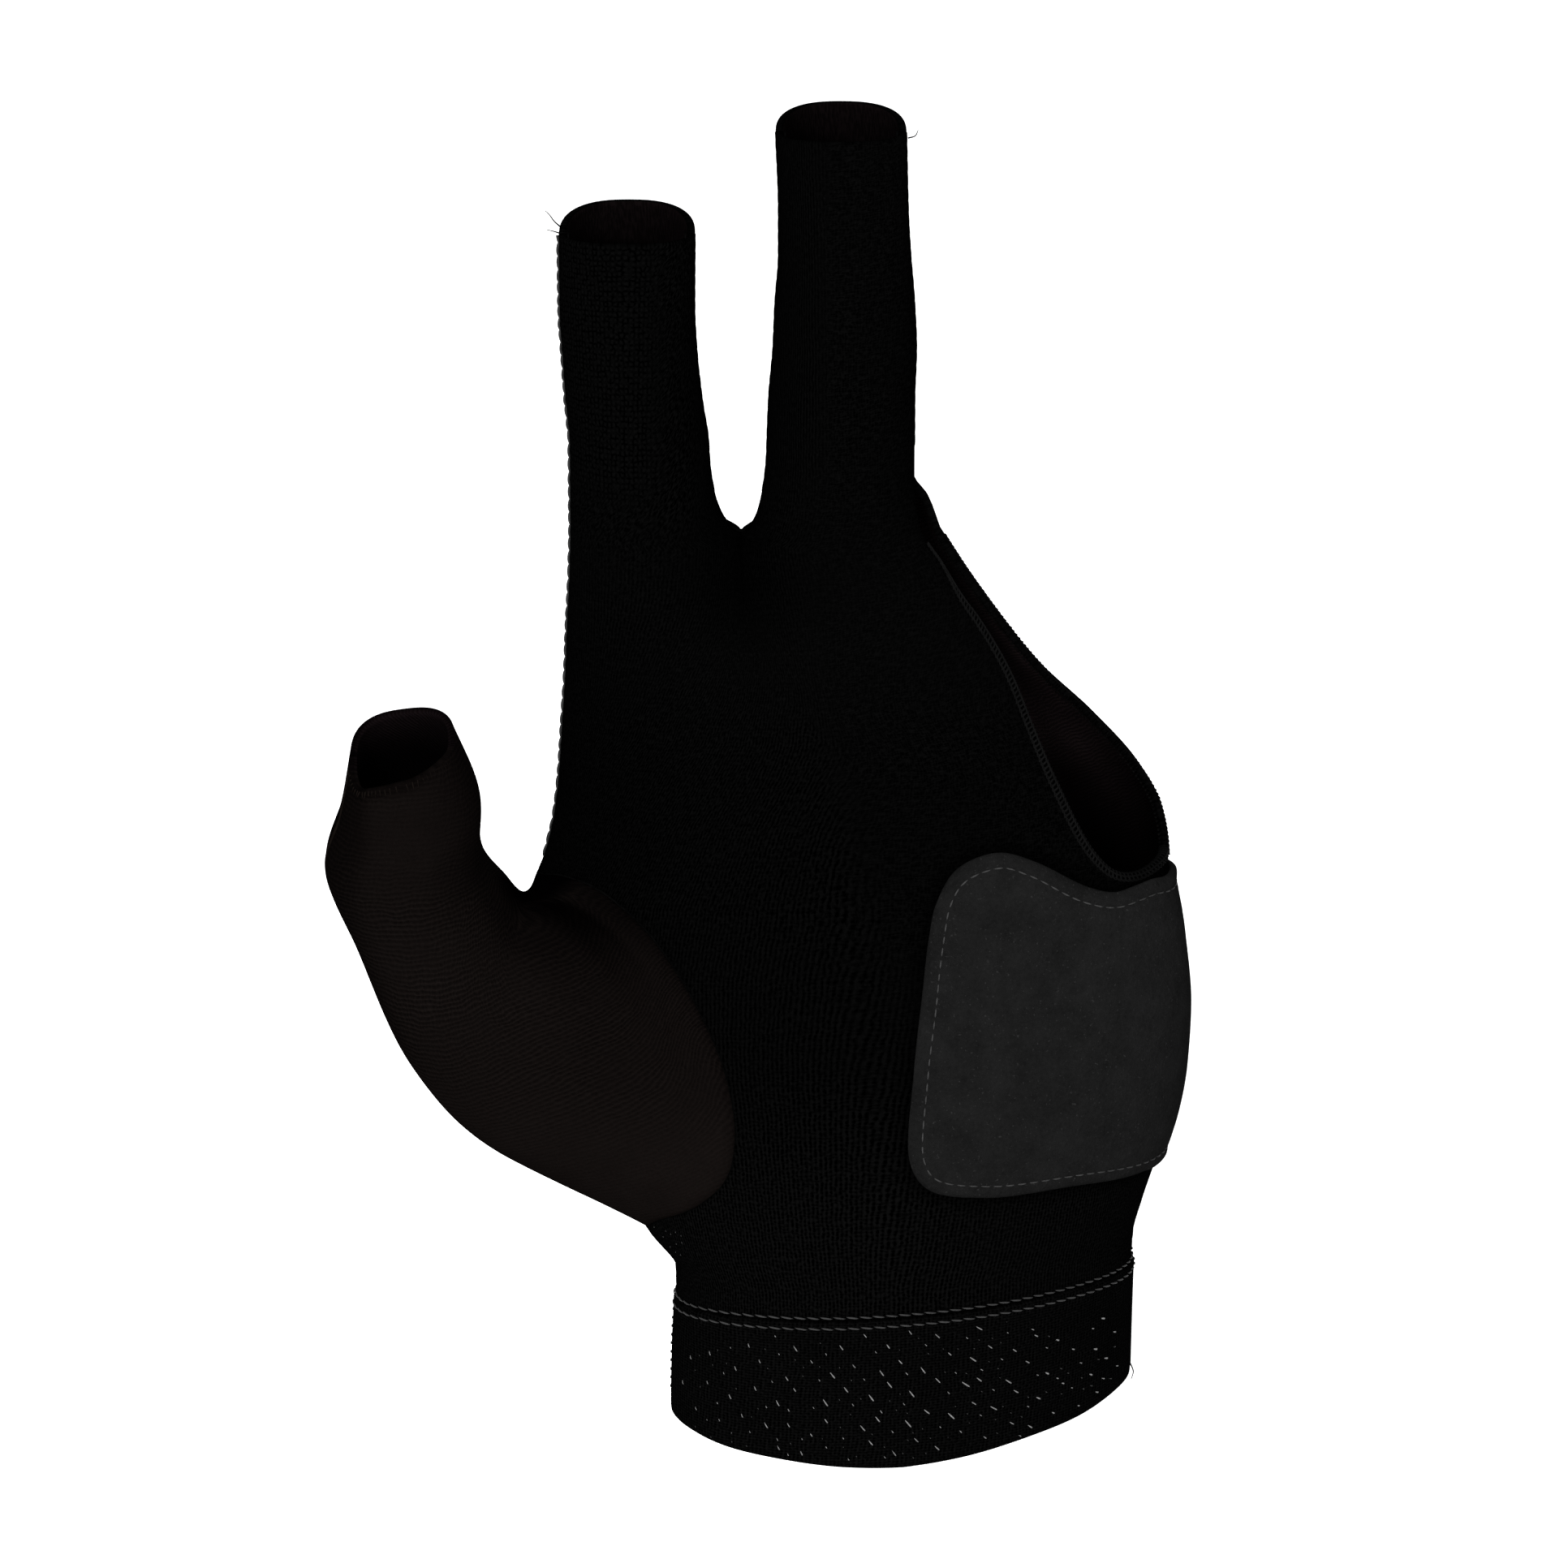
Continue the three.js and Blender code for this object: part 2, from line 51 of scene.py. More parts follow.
# Shape of the hand, the same as in the CAD
CUFF_SEAM = {"middle": 21.6, "side": 20.2, "sharpness": 6}
CUFF_RIM = {"middle": -1.2, "side": 2.0, "sharpness": 1.3}
WEB_X = -23.2
WEB_HEIGHT = 134.2
WEB_SIDE_ROUND = 12
WEB_DEPTH_ROUND = 9
FINGERS_SHOW = 99
INDEX_TIP = 180
MIDDLE_TIP = 194.6
TIP_TILT = {-1: -1.0, 1: 0.5}

# Sections. Hand: height, left x and y, right x and y, depth in front and behind, and power.
# Fingers: the same with outer for left and inner for right. Outer is the side away from the web.
HAND_ROWS = [
    (-2, -33.3, -7, 33.4, 7, 22.3, 20.5, 2),
    (12, -33.1, -7, 33.6, 7, 21, 20, 2),
    (21, -32.7, -7, 33.8, 7, 20.2, 19, 2.1),
    (24.5, -32.8, -6.6, 34, 6.5, 20, 18, 2.1),
    (30.5, -37.2, -5, 35.3, 5.5, 20, 16.5, 2.2),
    (40, -42.5, -4.2, 37.9, 4.5, 20, 15.5, 2.3),
    (52, -47.5, -3.8, 40.1, 4, 19, 14.5, 2.4),
    (61, -50.5, -3.4, 40.5, 3.8, 17.5, 14, 2.5),
    (72, -53, -2.6, 39.5, 3.4, 15.8, 13.5, 2.5),
    (80, -53.3, -2, 38.4, 3, 14.8, 13, 2.5),
    (86, -51.4, -1.2, 38.1, 3, 14.2, 12.8, 2.5),
    (92, -50, -0.6, 37, 3, 13.8, 12.6, 2.5),
    (98, -49.3, 0, 33.8, 3, 13.2, 12.3, 2.4),
    (105.5, -48.8, 0, 27.4, 3, 12.6, 12, 2.3),
    (113, -48.3, 0, 19.9, 2.6, 12, 11.5, 2.2),
    (120.3, -48, 0, 14.2, 2.2, 11.3, 11, 2.1),
    (127.6, -47.6, 0, 9.2, 1.6, 10.4, 10.2, 2),
    (134.2, -47.4, 0, 5.2, 1, 9.6, 9.4, 2),
]
INDEX_ROWS = [
    (134.2, -47.4, 0, -27.4, 0, 9.2, 9, 2),
    (147, -47.4, 0, -27.7, 0, 8.7, 8.6, 2),
    (154, -47.9, -0.8, -28.6, -0.8, 7.8, 9.3, 2),
    (161.3, -48.3, -2, -29.3, -2, 6.6, 10.6, 2.1),
    (168.4, -48.6, -3.8, -29.6, -3.8, 4.8, 12.6, 2.2),
    (180, -48.6, -5.9, -29.5, -5.9, 2.7, 15.2, 2.5),
]
MIDDLE_ROWS = [
    (134.2, 5.2, 1, -19.7, 0, 9.2, 9, 2),
    (139, 3.5, 0.6, -19.8, 0, 8.9, 8.8, 2),
    (142.4, 1.4, 0.2, -19.7, 0, 8.7, 8.6, 2),
    (154, 1.4, 0, -19.3, 0, 8.5, 8.4, 2),
    (161.3, 1.6, -0.4, -18.7, -0.4, 8, 8.6, 2),
    (168.4, 1.3, -1.2, -18.4, -1.2, 7.2, 9.2, 2.1),
    (176, 0.7, -2.6, -17.9, -2.6, 5.6, 10.6, 2.2),
    (183, 0.3, -4.2, -17.9, -4.2, 3.8, 12.4, 2.3),
    (194.6, 0, -5.2, -18.3, -5.2, 2.6, 13.8, 2.5),
]

# Thumb sections: outer x and z, inner x and z, y, depth in front and behind, lean, power
THUMB_SECTIONS = [
    (-59.6, 42.9, -54.3, 80.6, -4.5, 17, 13, 0, 2),
    (-70.9, 57.1, -57, 84, -7, 15, 12, 8, 2),
    (-78.4, 76.5, -59.4, 88.2, -10.5, 12, 10.5, 14, 2),
    (-82.3, 89.2, -60.2, 92.5, -14, 10.5, 9.8, 20, 2.1),
    (-79.9, 98.5, -60.1, 100.1, -17.5, 9.6, 9.2, 24, 2.3),
    (-78.2, 108, -63.4, 110, -21.5, 8, 7.8, 28, 2.7),
]

# Outlines as seen from the front, in x and z
THUMB_SEAM_FRONT = [
    (-37.4, 31), (-35.3, 34.4), (-29.4, 38.4), (-25.4, 43), (-24.2, 49.8), (-25.6, 58.3),
    (-28.2, 64.9), (-31.7, 71.5), (-36.3, 78), (-39.7, 81.3), (-44.4, 84.2), (-49.1, 84.9),
]
THUMB_SEAM_BACK = [
    (-53, 83.2), (-49.4, 82), (-43.5, 76), (-38, 66), (-35, 55), (-34.4, 45), (-35.2, 36),
]
PALM_EDGE = [
    (1, 144), (2.3, 135.7), (5.2, 130.7), (8.1, 125.6), (10.9, 121.4), (15, 114.2), (18.4, 106.4),
    (21.9, 98.5), (27.1, 88.3), (30.4, 84.85), (33.4, 84.05), (36.4, 84.7), (40, 86.4),
]

# Height at which the middle finger's side leaves the palm's edge, and how far that edge's own points
# keep from the height of the web
MIDDLE_SIDE_FOOT = 149
EDGE_CLEAR = 0.2

# Outline of the patch, on the palm and on the back
PATCH_FRONT = [
    (46, 37.6), (36, 38.1), (24.8, 39.3), (11.5, 39.3), (3.6, 41.1), (1, 45.1), (1.5, 57.8),
    (2.7, 68.7), (3.7, 77.4), (4.7, 82.1), (7.7, 87.2), (13.4, 89.4), (18.7, 87.8), (26.2, 83.5),
    (30.1, 82.2), (33.1, 82.6), (35.5, 82.9), (38, 82.3), (46, 81.4),
]
PATCH_BACK = [
    (46, 37.6), (30, 38.8), (22, 40.2), (18.6, 45), (18, 60), (18.2, 75), (20.6, 81), (28, 82.6),
    (46, 81.4),
]

# The patch's height over the palm
PATCH_EDGE = {"width": 0.8, "low": 0.5, "rise": 0.75}
PATCH_CHANNEL = {"width": 0.55, "depth": 0.3}
PATCH_MIDDLE_RISE = 0.15

# Folds at the ball of the thumb, the thumb's open end and the hollow of the palm
ROLL = {"distance": 2.6, "width": 1.8, "height": 1.5}
VALLEY = {"distance": 6.2, "width": 1.9, "height": -2.4}
FOLD_ANGLE = 140
FOLD_SPREAD = 34
TIP_RISE = {"height": 2.3, "angle": 140, "spread": 55}
TIP_CORNER = {"depth": 1.2, "angle": 30, "spread": 24}
PALM_HOLLOW = {"x": -6, "z": 76, "radius": 24, "depth": 2.2}

# Millimetres across for one unit of u, which runs over a cloth of the hand, and a small step of u
HAND_U = 50
FINGER_U = 29
U_STEP = 0.004

# How fine the cloth meshes are
CLOTH_STEP = 1.0
PATCH_STEP = 0.8
PATCH_OUTLINE_STEP = 0.6
THUMB_COLUMNS = 160
THUMB_ROWS = 96
CUFF_COLUMNS = 320

# Steps along the outlines of the hand
CUFF_SEAM_STEPS = 120
FINGER_END_STEPS = 30
INDEX_SIDE_STEPS = 46

# Width of a column of stitches
KNIT_PITCH = 0.50

# How far the knit's columns lean to the right at each place across, and over which height
KNIT_LEAN = [
    (-45, 0.52), (-37, 0.48), (-28, 0.39), (-19, 0.28), (-9, 0.16), (2, 0.07), (14, 0.02), (30, 0),
]
KNIT_RISE = [(72, 0), (82, 4), (106, 28), (112, 30)]

# Share of the light that reaches the inside at each height
INSIDE_LIGHT = [
    (80, 0.06), (84, 0.08), (87, 0.11), (90, 0.15), (94, 0.21), (98, 0.30), (101, 0.40), (105, 0.50),
    (110, 0.66), (116, 0.92), (119, 1),
]

# The same inside a finger, by the distance below its open end
FINGER_LIGHT = [(0, 0.25), (1, 0.22), (2.5, 0.20), (4, 0.165), (5, 0.15), (5.8, 0.07)]

# How fine the lines are that threads follow
THREAD_ROWS = 120
RIM_STEP = 0.1
LOBE_STEP = 0.2
TAPE_STEP = 0.8

# Seams: pitches, insets and sizes of their threads
BACK_EDGE_FOOT = 84.5
EDGING_PITCH = 0.68
EDGING_WIDTH = 1.0
EDGING_SLANT = 0.35
EDGING_REACH = 0.16
BRAID_RADIUS = 0.10
LOBE_PITCH = 2.0
TAPE_GAP = 0.25
TAPE_WIDTH = 2.2
TAPE_THICKNESS = 0.32
PATCH_STITCH_PITCH = 1.8
PATCH_STITCH_INSET = 2.0
CUFF_STITCH_PITCH = 1.9
CUFF_STITCH_HEIGHTS = (0.45, -1.05)

# Lattice of the cuff's flecks, in x and z, and the flecks at each of its places: x, z and size
FLECK_FIRST = (-8.7, 17.8)
FLECK_ACROSS = (6.6, 0.2)
FLECK_DOWN = (-1.4, -4.2)
LARGE_FLECKS = [(0, 0, 1.0), (3.1, 1.6, 0.75)]
SMALL_FLECKS = [(1.6, -1.9, 0.3), (4.6, -0.6, 0.2)]

# How clear of each other flecks are, how many specks to try, and the slope in degrees at each x
FLECK_CLEAR = 1.2
SPECK_COUNT = 260
FLECK_SLOPES = [(-32, 74), (-20, 62), (0, 52), (15, 38), (30, 30)]

# Distance outwards and share of the width at each of a fleck's points
FLECK_BOW = [-0.10, 0.0, 0.04, 0.05, 0.02, -0.10]
FLECK_TAPER = [0.15, 0.55, 0.85, 1.0, 0.95, 0.35]

# Flecks low on the palm beside the thumb, in x and z
PALM_FLECKS = [
    (-34.1, 32.9), (-33.4, 32.6), (-32.7, 33.2), (-31.9, 32.8), (-34.5, 31.6), (-32.6, 31.1),
    (-31.8, 31.6), (-33.5, 30.1), (-32.7, 29.4), (-32.0, 29.2), (-35.8, 32.8),
]

# Loose ends of thread, as points from the seam to the end
TAILS = [
    [(-48.5, -3.0, 180.2), (-49.3, -3.4, 181.1), (-49.9, -3.8, 182.1), (-50.5, -4.0, 182.8)],
    [(-48.5, -3.0, 179.2), (-49.4, -3.4, 179.6), (-50.3, -4.0, 180.0)],
    [(0.2, -5.6, 193.8), (1.2, -5.8, 194.2), (1.6, -5.6, 195.0)],
    [(33.8, 6.6, 3.0), (34.3, 6.2, 1.8), (34.0, 6.0, 0.6)],
]

# Background and lights: place and size in metres, and power
BACKGROUND_STRENGTH = 1.05
LIGHT_TARGET = (-0.017, 0, 0.09)
LIGHTS = [
    ("key", (-0.45, -1.3, 0.75), 0.5, 60),
    ("fill", (0.9, -1.1, 0.4), 0.8, 14),
    ("overhead", (0, 0.2, 1.3), 1.0, 8),
]

# Camera
CAMERA_DISTANCE = 1400
CAMERA_ELEVATION = 20
CAMERA_LENS = 224.35
CAMERA_SENSOR = 36
CAMERA_TARGET = (-17.1, 0, 96)


# Curves and sections

def lerp(a, b, t):
    return a + (b - a) * t


def bell(distance, width):
    return np.exp(-((distance / width) ** 2))


def smooth(x, low, high):
    t = np.clip((x - low) / (high - low), 0, 1)
    return t * t * (3 - 2 * t)


def fall(x, low, high):
    return 1 - smooth(x, low, high)


def unit(vectors):
    length = np.linalg.norm(vectors, axis=-1, keepdims=True)
    return vectors / np.maximum(length, 1e-12)


def monotone_curve(xs, ys):
    """Cubic curve through given values that never overshoots them."""
    xs = np.array(xs, float)
    ys = np.array(ys, float)
    slopes = np.diff(ys) / np.diff(xs)
    before = np.append(slopes[:1], slopes)
    after = np.append(slopes, slopes[-1:])
    same_way = before * after > 0
    total = np.where(same_way, before + after, 1)
    tangents = np.where(same_way, 2 * before * after / total, 0)

    def value(x):
        start = np.clip(np.searchsorted(xs, x, side="right") - 1, 0, len(xs) - 2)
        span = xs[start + 1] - xs[start]
        t = np.clip((x - xs[start]) / span, 0, 1)
        bend = span * t * (1 - t) * ((1 - t) * tangents[start] - t * tangents[start + 1])
        return lerp(ys[start], ys[start + 1], t * t * (3 - 2 * t)) + bend

    return value


def table(names, rows):
    """Curves by name. Each row has a height and the value of every curve there."""
    columns = list(zip(*rows))
    return {name: monotone_curve(columns[0], column) for name, column in zip(names, columns[1:])}


HAND = table(["leftX", "leftY", "rightX", "rightY", "front", "back", "power"], HAND_ROWS)
FINGER_NAMES = ["outer", "outerY", "inner", "innerY", "front", "back", "power"]
INDEX = {"edge": "left", "tip": INDEX_TIP, **table(FINGER_NAMES, INDEX_ROWS)}
MIDDLE = {"edge": "right", "tip": MIDDLE_TIP, **table(FINGER_NAMES, MIDDLE_ROWS)}


def depth_name(side):
    return "front" if side < 0 else "back"


def arch(u, power):
    """One half of a superellipse: u runs from -1 at the left seam to 1 at the right seam."""
    angle = math.pi * (u + 1) / 2
    across = -np.cos(angle)
    share = (np.sign(across) * np.abs(across) ** (2 / power) + 1) / 2
    return share, np.maximum(np.sin(angle), 0) ** (2 / power)


def finger_arch(finger, side, u, z):
    """Section point of a finger tube: x, the y of its seams there, and how far it is from that y."""
    height = np.maximum(z, WEB_HEIGHT)
    share, out = arch(u, finger["power"](height))
    rise = np.clip((height - WEB_HEIGHT) / WEB_SIDE_ROUND, 0, 1)
    inner_x = lerp(WEB_X, finger["inner"](height), np.sqrt(1 - (1 - rise) ** 2))
    below = z < WEB_HEIGHT
    outer_x = np.where(below, HAND[finger["edge"] + "X"](z), finger["outer"](z))
    outer_y = np.where(below, HAND[finger["edge"] + "Y"](z), finger["outerY"](z))
    inner_share = share if finger is INDEX else 1 - share
    x = lerp(outer_x, inner_x, inner_share)
    seam_y = lerp(outer_y, finger["innerY"](height), inner_share)
    return x, seam_y, finger[depth_name(side)](height) * out


def palm_hollow(x, z):
    distance = np.hypot(x - PALM_HOLLOW["x"], z - PALM_HOLLOW["z"])
    return PALM_HOLLOW["depth"] * bell(distance, PALM_HOLLOW["radius"])


def hand_arch(side, u, z):
    """The same for the hand, which turns into two tubes as z nears the web."""
    share, out = arch(u, HAND["power"](z))
    x = lerp(HAND["leftX"](z), HAND["rightX"](z), share)
    seam_y = lerp(HAND["leftY"](z), HAND["rightY"](z), share)
    hollow = palm_hollow(x, z) if side < 0 else 0
    depth = (HAND[depth_name(side)](z) - hollow) * out
    index = finger_arch(INDEX, side, np.minimum(2 * u + 1, 1), z)
    middle = finger_arch(MIDDLE, side, np.maximum(2 * u - 1, -1), z)
    finger_x, finger_seam, finger_depth = (np.where(u < 0, i, m) for i, m in zip(index, middle))
    finger_share = smooth(z, FINGERS_SHOW, WEB_HEIGHT)
    closing = np.clip((z - WEB_HEIGHT + WEB_DEPTH_ROUND) / WEB_DEPTH_ROUND, 0, 1)
    hand_share = np.sqrt(1 - closing ** 2)
    together = np.cbrt((finger_share * finger_depth) ** 3 + (hand_share * depth) ** 3)
    return lerp(x, finger_x, finger_share), lerp(seam_y, finger_seam, finger_share), together


def region_arch(region, side, u, z):
    """Section point of the hand (no region), or of a finger above the web."""
    if region is None:
        return hand_arch(side, u, z)
    local = 2 * u + 1 if region is INDEX else 2 * u - 1
    return finger_arch(region, side, np.clip(local, -1, 1), z)


def region_point(region, side, u, z):
    u = np.asarray(u, float)
    z = np.asarray(z, float)
    x, seam_y, depth = region_arch(region, side, u, z)
    height = z
    if region is not None:
        out = np.maximum(np.cos(math.pi / 2 * (2 * np.abs(u) - 1)), 0) ** 0.8
        height = z + TIP_TILT[side] * out * smooth(z, region["tip"] - 14, region["tip"])
    return np.stack(np.broadcast_arrays(x, seam_y + side * depth, height), axis=-1)


def u_at(region, side, x, z):
    """The u at which the cloth is seen at a place, from the front. Past a side it is that side."""
    low = np.full(np.shape(x), -1.0 if region is not MIDDLE else 0.0)
    high = np.full(np.shape(x), 1.0 if region is not INDEX else 0.0)
    for _ in range(40):
        middle = (low + high) / 2
        is_left = region_arch(region, side, middle, z)[0] < x
        low = np.where(is_left, middle, low)
        high = np.where(is_left, high, middle)
    return low


def small_steps(region, side, u, z, rise):
    """Moves on the cloth for a small step of u and for a rise of z, and the length of the step of u."""
    low_u = np.maximum(u - U_STEP, -1)
    high_u = np.minimum(u + U_STEP, 1)
    across = region_point(region, side, high_u, z) - region_point(region, side, low_u, z)
    up = region_point(region, side, u, z + rise) - region_point(region, side, u, z - rise)
    return across, up, high_u - low_u


def outward(region, side, u, z):
    """Normal of the cloth."""
    across, up, _ = small_steps(region, side, u, z, 0.3)
    return unit(np.cross(across, up)) * -side


def cuff_level(u, level):
    """Height of the cuff's rim or of its seam, which differ between the middle and the sides."""
    share = arch(u, 2)[0]
    return lerp(level["middle"], level["side"], np.abs(2 * share - 1) ** level["sharpness"])


def catmull_segment(p0, p1, p2, p3, t):
    """Centripetal curve from the second point to the third."""
    gaps = [np.linalg.norm(b - a, axis=-1) ** 0.5 for a, b in ((p0, p1), (p1, p2), (p2, p3))]
    d1 = np.where(gaps[1] < 1e-4, 1, gaps[1])[..., None]
    d0 = np.where(gaps[0] < 1e-4, d1[..., 0], gaps[0])[..., None]
    d2 = np.where(gaps[2] < 1e-4, d1[..., 0], gaps[2])[..., None]
    start = ((p1 - p0) / d0 - (p2 - p0) / (d0 + d1) + (p2 - p1) / d1) * d1
    end = ((p2 - p1) / d1 - (p3 - p1) / (d1 + d2) + (p3 - p2) / d2) * d1
    t = np.asarray(t)[..., None]
    a = 2 * p1 - 2 * p2 + start + end
    b = -3 * p1 + 3 * p2 - 2 * start - end
    return ((a * t + b) * t + start) * t + p1


def catmull(points, shares, closed=False):
    """Smooth curve through points (first axis), at shares of its length in segments."""
    points = np.asarray(points, float)
    count = len(points)
    if closed:
        padded = np.concatenate([points[-1:], points, points[:2]])
        segments = count
    else:
        first = 2 * points[0] - points[1]
        last = 2 * points[-1] - points[-2]
        padded = np.concatenate([first[None], points, last[None]])
        segments = count - 1
    place = np.asarray(shares, float) * segments
    i = np.clip(np.floor(place).astype(int), 0, segments - 1)
    t = (place - i).reshape(place.shape + (1,) * (points.ndim - 2))
    return catmull_segment(padded[i], padded[i + 1], padded[i + 2], padded[i + 3], t)


def resample(points, step):
    """The same line with points an even distance apart."""
    lengths = np.append(0, np.cumsum(np.linalg.norm(np.diff(points, axis=0), axis=1)))
    count = max(int(round(lengths[-1] / step)), 1) + 1
    places = np.linspace(0, lengths[-1], count)
    return np.stack([np.interp(places, lengths, column) for column in points.T], axis=1)


def fine_line(points, ways, step):
    """The same line with points an even distance apart, and a way at each, such as its normal."""
    fine = resample(np.concatenate([points, ways], axis=1), step)
    return fine[:, :3], unit(fine[:, 3:])


def looped(points):
    """The same line with its first point again at its end."""
    return np.concatenate([points, points[:1]])


# Meshes

def inside_polygon(polygon, points):
    """True for each point that an outline goes round."""
    inside = np.zeros(len(points), bool)
    for (x0, y0), (x1, y1) in zip(polygon, np.roll(polygon, -1, axis=0)):
        if y0 == y1:
            continue
        crosses = (points[:, 1] < y0) != (points[:, 1] < y1)
        at_x = x0 + (points[:, 1] - y0) * (x1 - x0) / (y1 - y0)
        inside ^= crosses & (points[:, 0] < at_x)
    return inside


def distance_to(line, points):
    """Distance of each point to the nearest point of a fine line."""
    best = np.full(len(points), np.inf)
    for chunk in np.array_split(line, max(len(line) // 64, 1)):
        apart = np.linalg.norm(points[:, None] - chunk[None], axis=2).min(axis=1)
        best = np.minimum(best, apart)
    return best


def drop_doubles(points, closeness=1e-5):
    """The same outline without points that repeat the one before."""
    kept = [points[0]]
    for point in points[1:]:
        if np.linalg.norm(point - kept[-1]) > closeness:
            kept.append(point)
    if np.linalg.norm(kept[0] - kept[-1]) < closeness:
        kept.pop()
    return np.array(kept)


def fill(outline, step):
    """Triangles of even size inside an outline. Its own points are kept."""
    outline = drop_doubles(outline)
    low = outline.min(axis=0)
    high = outline.max(axis=0)
    grid = []
    for i, height in enumerate(np.arange(low[1], high[1], step * math.sqrt(3) / 2)):
        xs = np.arange(low[0] + (i % 2) * step / 2, high[0], step)
        grid.append(np.stack([xs, np.full(len(xs), height)], axis=1))
    grid = np.concatenate(grid)
    grid = grid[inside_polygon(outline, grid)]
    grid = grid[distance_to(resample(looped(outline), step / 3), grid) > 0.6 * step]
    everything = np.concatenate([outline, grid])
    border = [(i, (i + 1) % len(outline)) for i in range(len(outline))]
    made = delaunay_2d_cdt([Vector(p) for p in everything], border, [], 0, 1e-7, False)
    points = np.array([tuple(p) for p in made[0]])
    faces = np.array([face for face in made[2] if len(face) == 3])
    faces = faces[inside_polygon(outline, points[faces].mean(axis=1))]
    a, b, c = (points[faces[:, i]] for i in range(3))
    turned = (b[:, 0] - a[:, 0]) * (c[:, 1] - a[:, 1]) - (b[:, 1] - a[:, 1]) * (c[:, 0] - a[:, 0])
    faces[turned < 0] = faces[turned < 0][:, ::-1]
    return points, faces[np.abs(turned) > 1e-9]


def weld(points, faces, extra):
    """Merges points that are at one place, and drops faces that this closes up."""
    _, first, order = np.unique(np.round(points, 4), axis=0, return_index=True, return_inverse=True)
    faces = order.reshape(-1)[faces]
    a, b, c = faces.T
    faces = faces[(a != b) & (b != c) & (c != a)]
    used = np.unique(faces)
    number = np.zeros(len(first), int)
    number[used] = np.arange(len(used))
    kept = first[used]
    return points[kept], number[faces], [values[kept] for values in extra]


def point_normals(points, faces):
    """Normal at each point, the mean of those of its triangles by their area."""
    normals = np.zeros_like(points)
    corners = points[faces]
    flat = np.cross(corners[:, 1] - corners[:, 0], corners[:, 2] - corners[:, 0])
    for corner in range(3):
        np.add.at(normals, faces[:, corner], flat)
    return unit(normals)


def rim_edges(faces):
    """Directed edges that only one triangle has."""
    edges = np.concatenate([faces[:, [0, 1]], faces[:, [1, 2]], faces[:, [2, 0]]])
    size = faces.max() + 1
    forward = edges[:, 0] * size + edges[:, 1]
    backward = edges[:, 1] * size + edges[:, 0]
    return edges[~np.isin(forward, backward)]


class Cloth:
    """Closed wall of cloth: outer and inner faces, and a round rim between them."""

    def __init__(
        self, points, faces, normals, cloth, outside=0, inside=0, bulge=0.14, limit=None, inside_cloth=None,
    ):
        edges = rim_edges(faces)
        rim = np.unique(edges)
        order = np.full(len(points), -1)
        order[rim] = np.arange(len(rim))
        away = np.zeros_like(points)
        sideways = unit(np.cross(points[edges[:, 1]] - points[edges[:, 0]], normals[edges[:, 0]]))
        np.add.at(away, edges[:, 0], sideways)
        np.add.at(away, edges[:, 1], sideways)
        away = unit(away)
        outer = points + normals * np.reshape(outside, (-1, 1))
        inner = points + normals * inside
        if limit is not None:
            outer = limit(outer)
            inner = limit(inner)
        middle = (outer[rim] + inner[rim]) / 2 + away[rim] * bulge
        count = len(points)
        a, b = edges.T
        middle_a = 2 * count + order[a]
        middle_b = 2 * count + order[b]
        strips = [
            np.stack([a, middle_a, middle_b], axis=1),
            np.stack([a, middle_b, b], axis=1),
            np.stack([middle_a, a + count, b + count], axis=1),
            np.stack([middle_a, b + count, middle_b], axis=1),
        ]
        self.points = np.concatenate([outer, inner, middle])
        self.faces = np.concatenate([faces, faces[:, ::-1] + count, *strips])
        self.slots = np.zeros(len(self.faces), int)
        self.slots[len(faces):2 * len(faces)] = 1
        inside_cloth = cloth if inside_cloth is None else inside_cloth
        self.cloth = np.concatenate([cloth, inside_cloth, cloth[rim]])

    def make(self, name, materials, node, slot):
        made = make_object(name, self.points, self.faces, materials, self.slots, self.cloth)
        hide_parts(node)
        return made


class Threads:
    """Many thin tubes, gathered into one piece."""

    def __init__(self):
        self.points = []
        self.faces = []
        self.count = 0

    def add(self, paths, ups, widths, heights, sides=6):
        """Paths are (tube, point, 3). Widths and heights are half of a tube's own."""
        paths = np.asarray(paths, float)
        ahead = unit(np.gradient(paths, axis=1))
        across = unit(np.cross(ahead, np.broadcast_to(ups, paths.shape)))
        upwards = np.cross(across, ahead)
        angle = np.linspace(0, 2 * math.pi, sides, endpoint=False)[:, None]
        widths = np.broadcast_to(widths, paths.shape[:2])[..., None, None]
        heights = np.broadcast_to(heights, paths.shape[:2])[..., None, None]
        ring = across[:, :, None] * np.cos(angle) * widths + upwards[:, :, None] * np.sin(angle) * heights
        ring = ring + paths[:, :, None]
        tubes, steps = paths.shape[:2]
        number = np.arange(tubes * steps * sides).reshape(tubes, steps, sides) + self.count
        following = np.roll(number, -1, axis=2)
        quads = np.stack([number[:, :-1], number[:, 1:], following[:, 1:], following[:, :-1]], axis=-1)
        self.points.append(ring.reshape(-1, 3))
        self.faces += quads.reshape(-1, 4).tolist()
        self.faces += number[:, 0].tolist()
        self.faces += number[:, -1, ::-1].tolist()
        self.count += tubes * steps * sides

    def make(self, name, material, slot):
        make_object(name, np.concatenate(self.points), self.faces, [material])


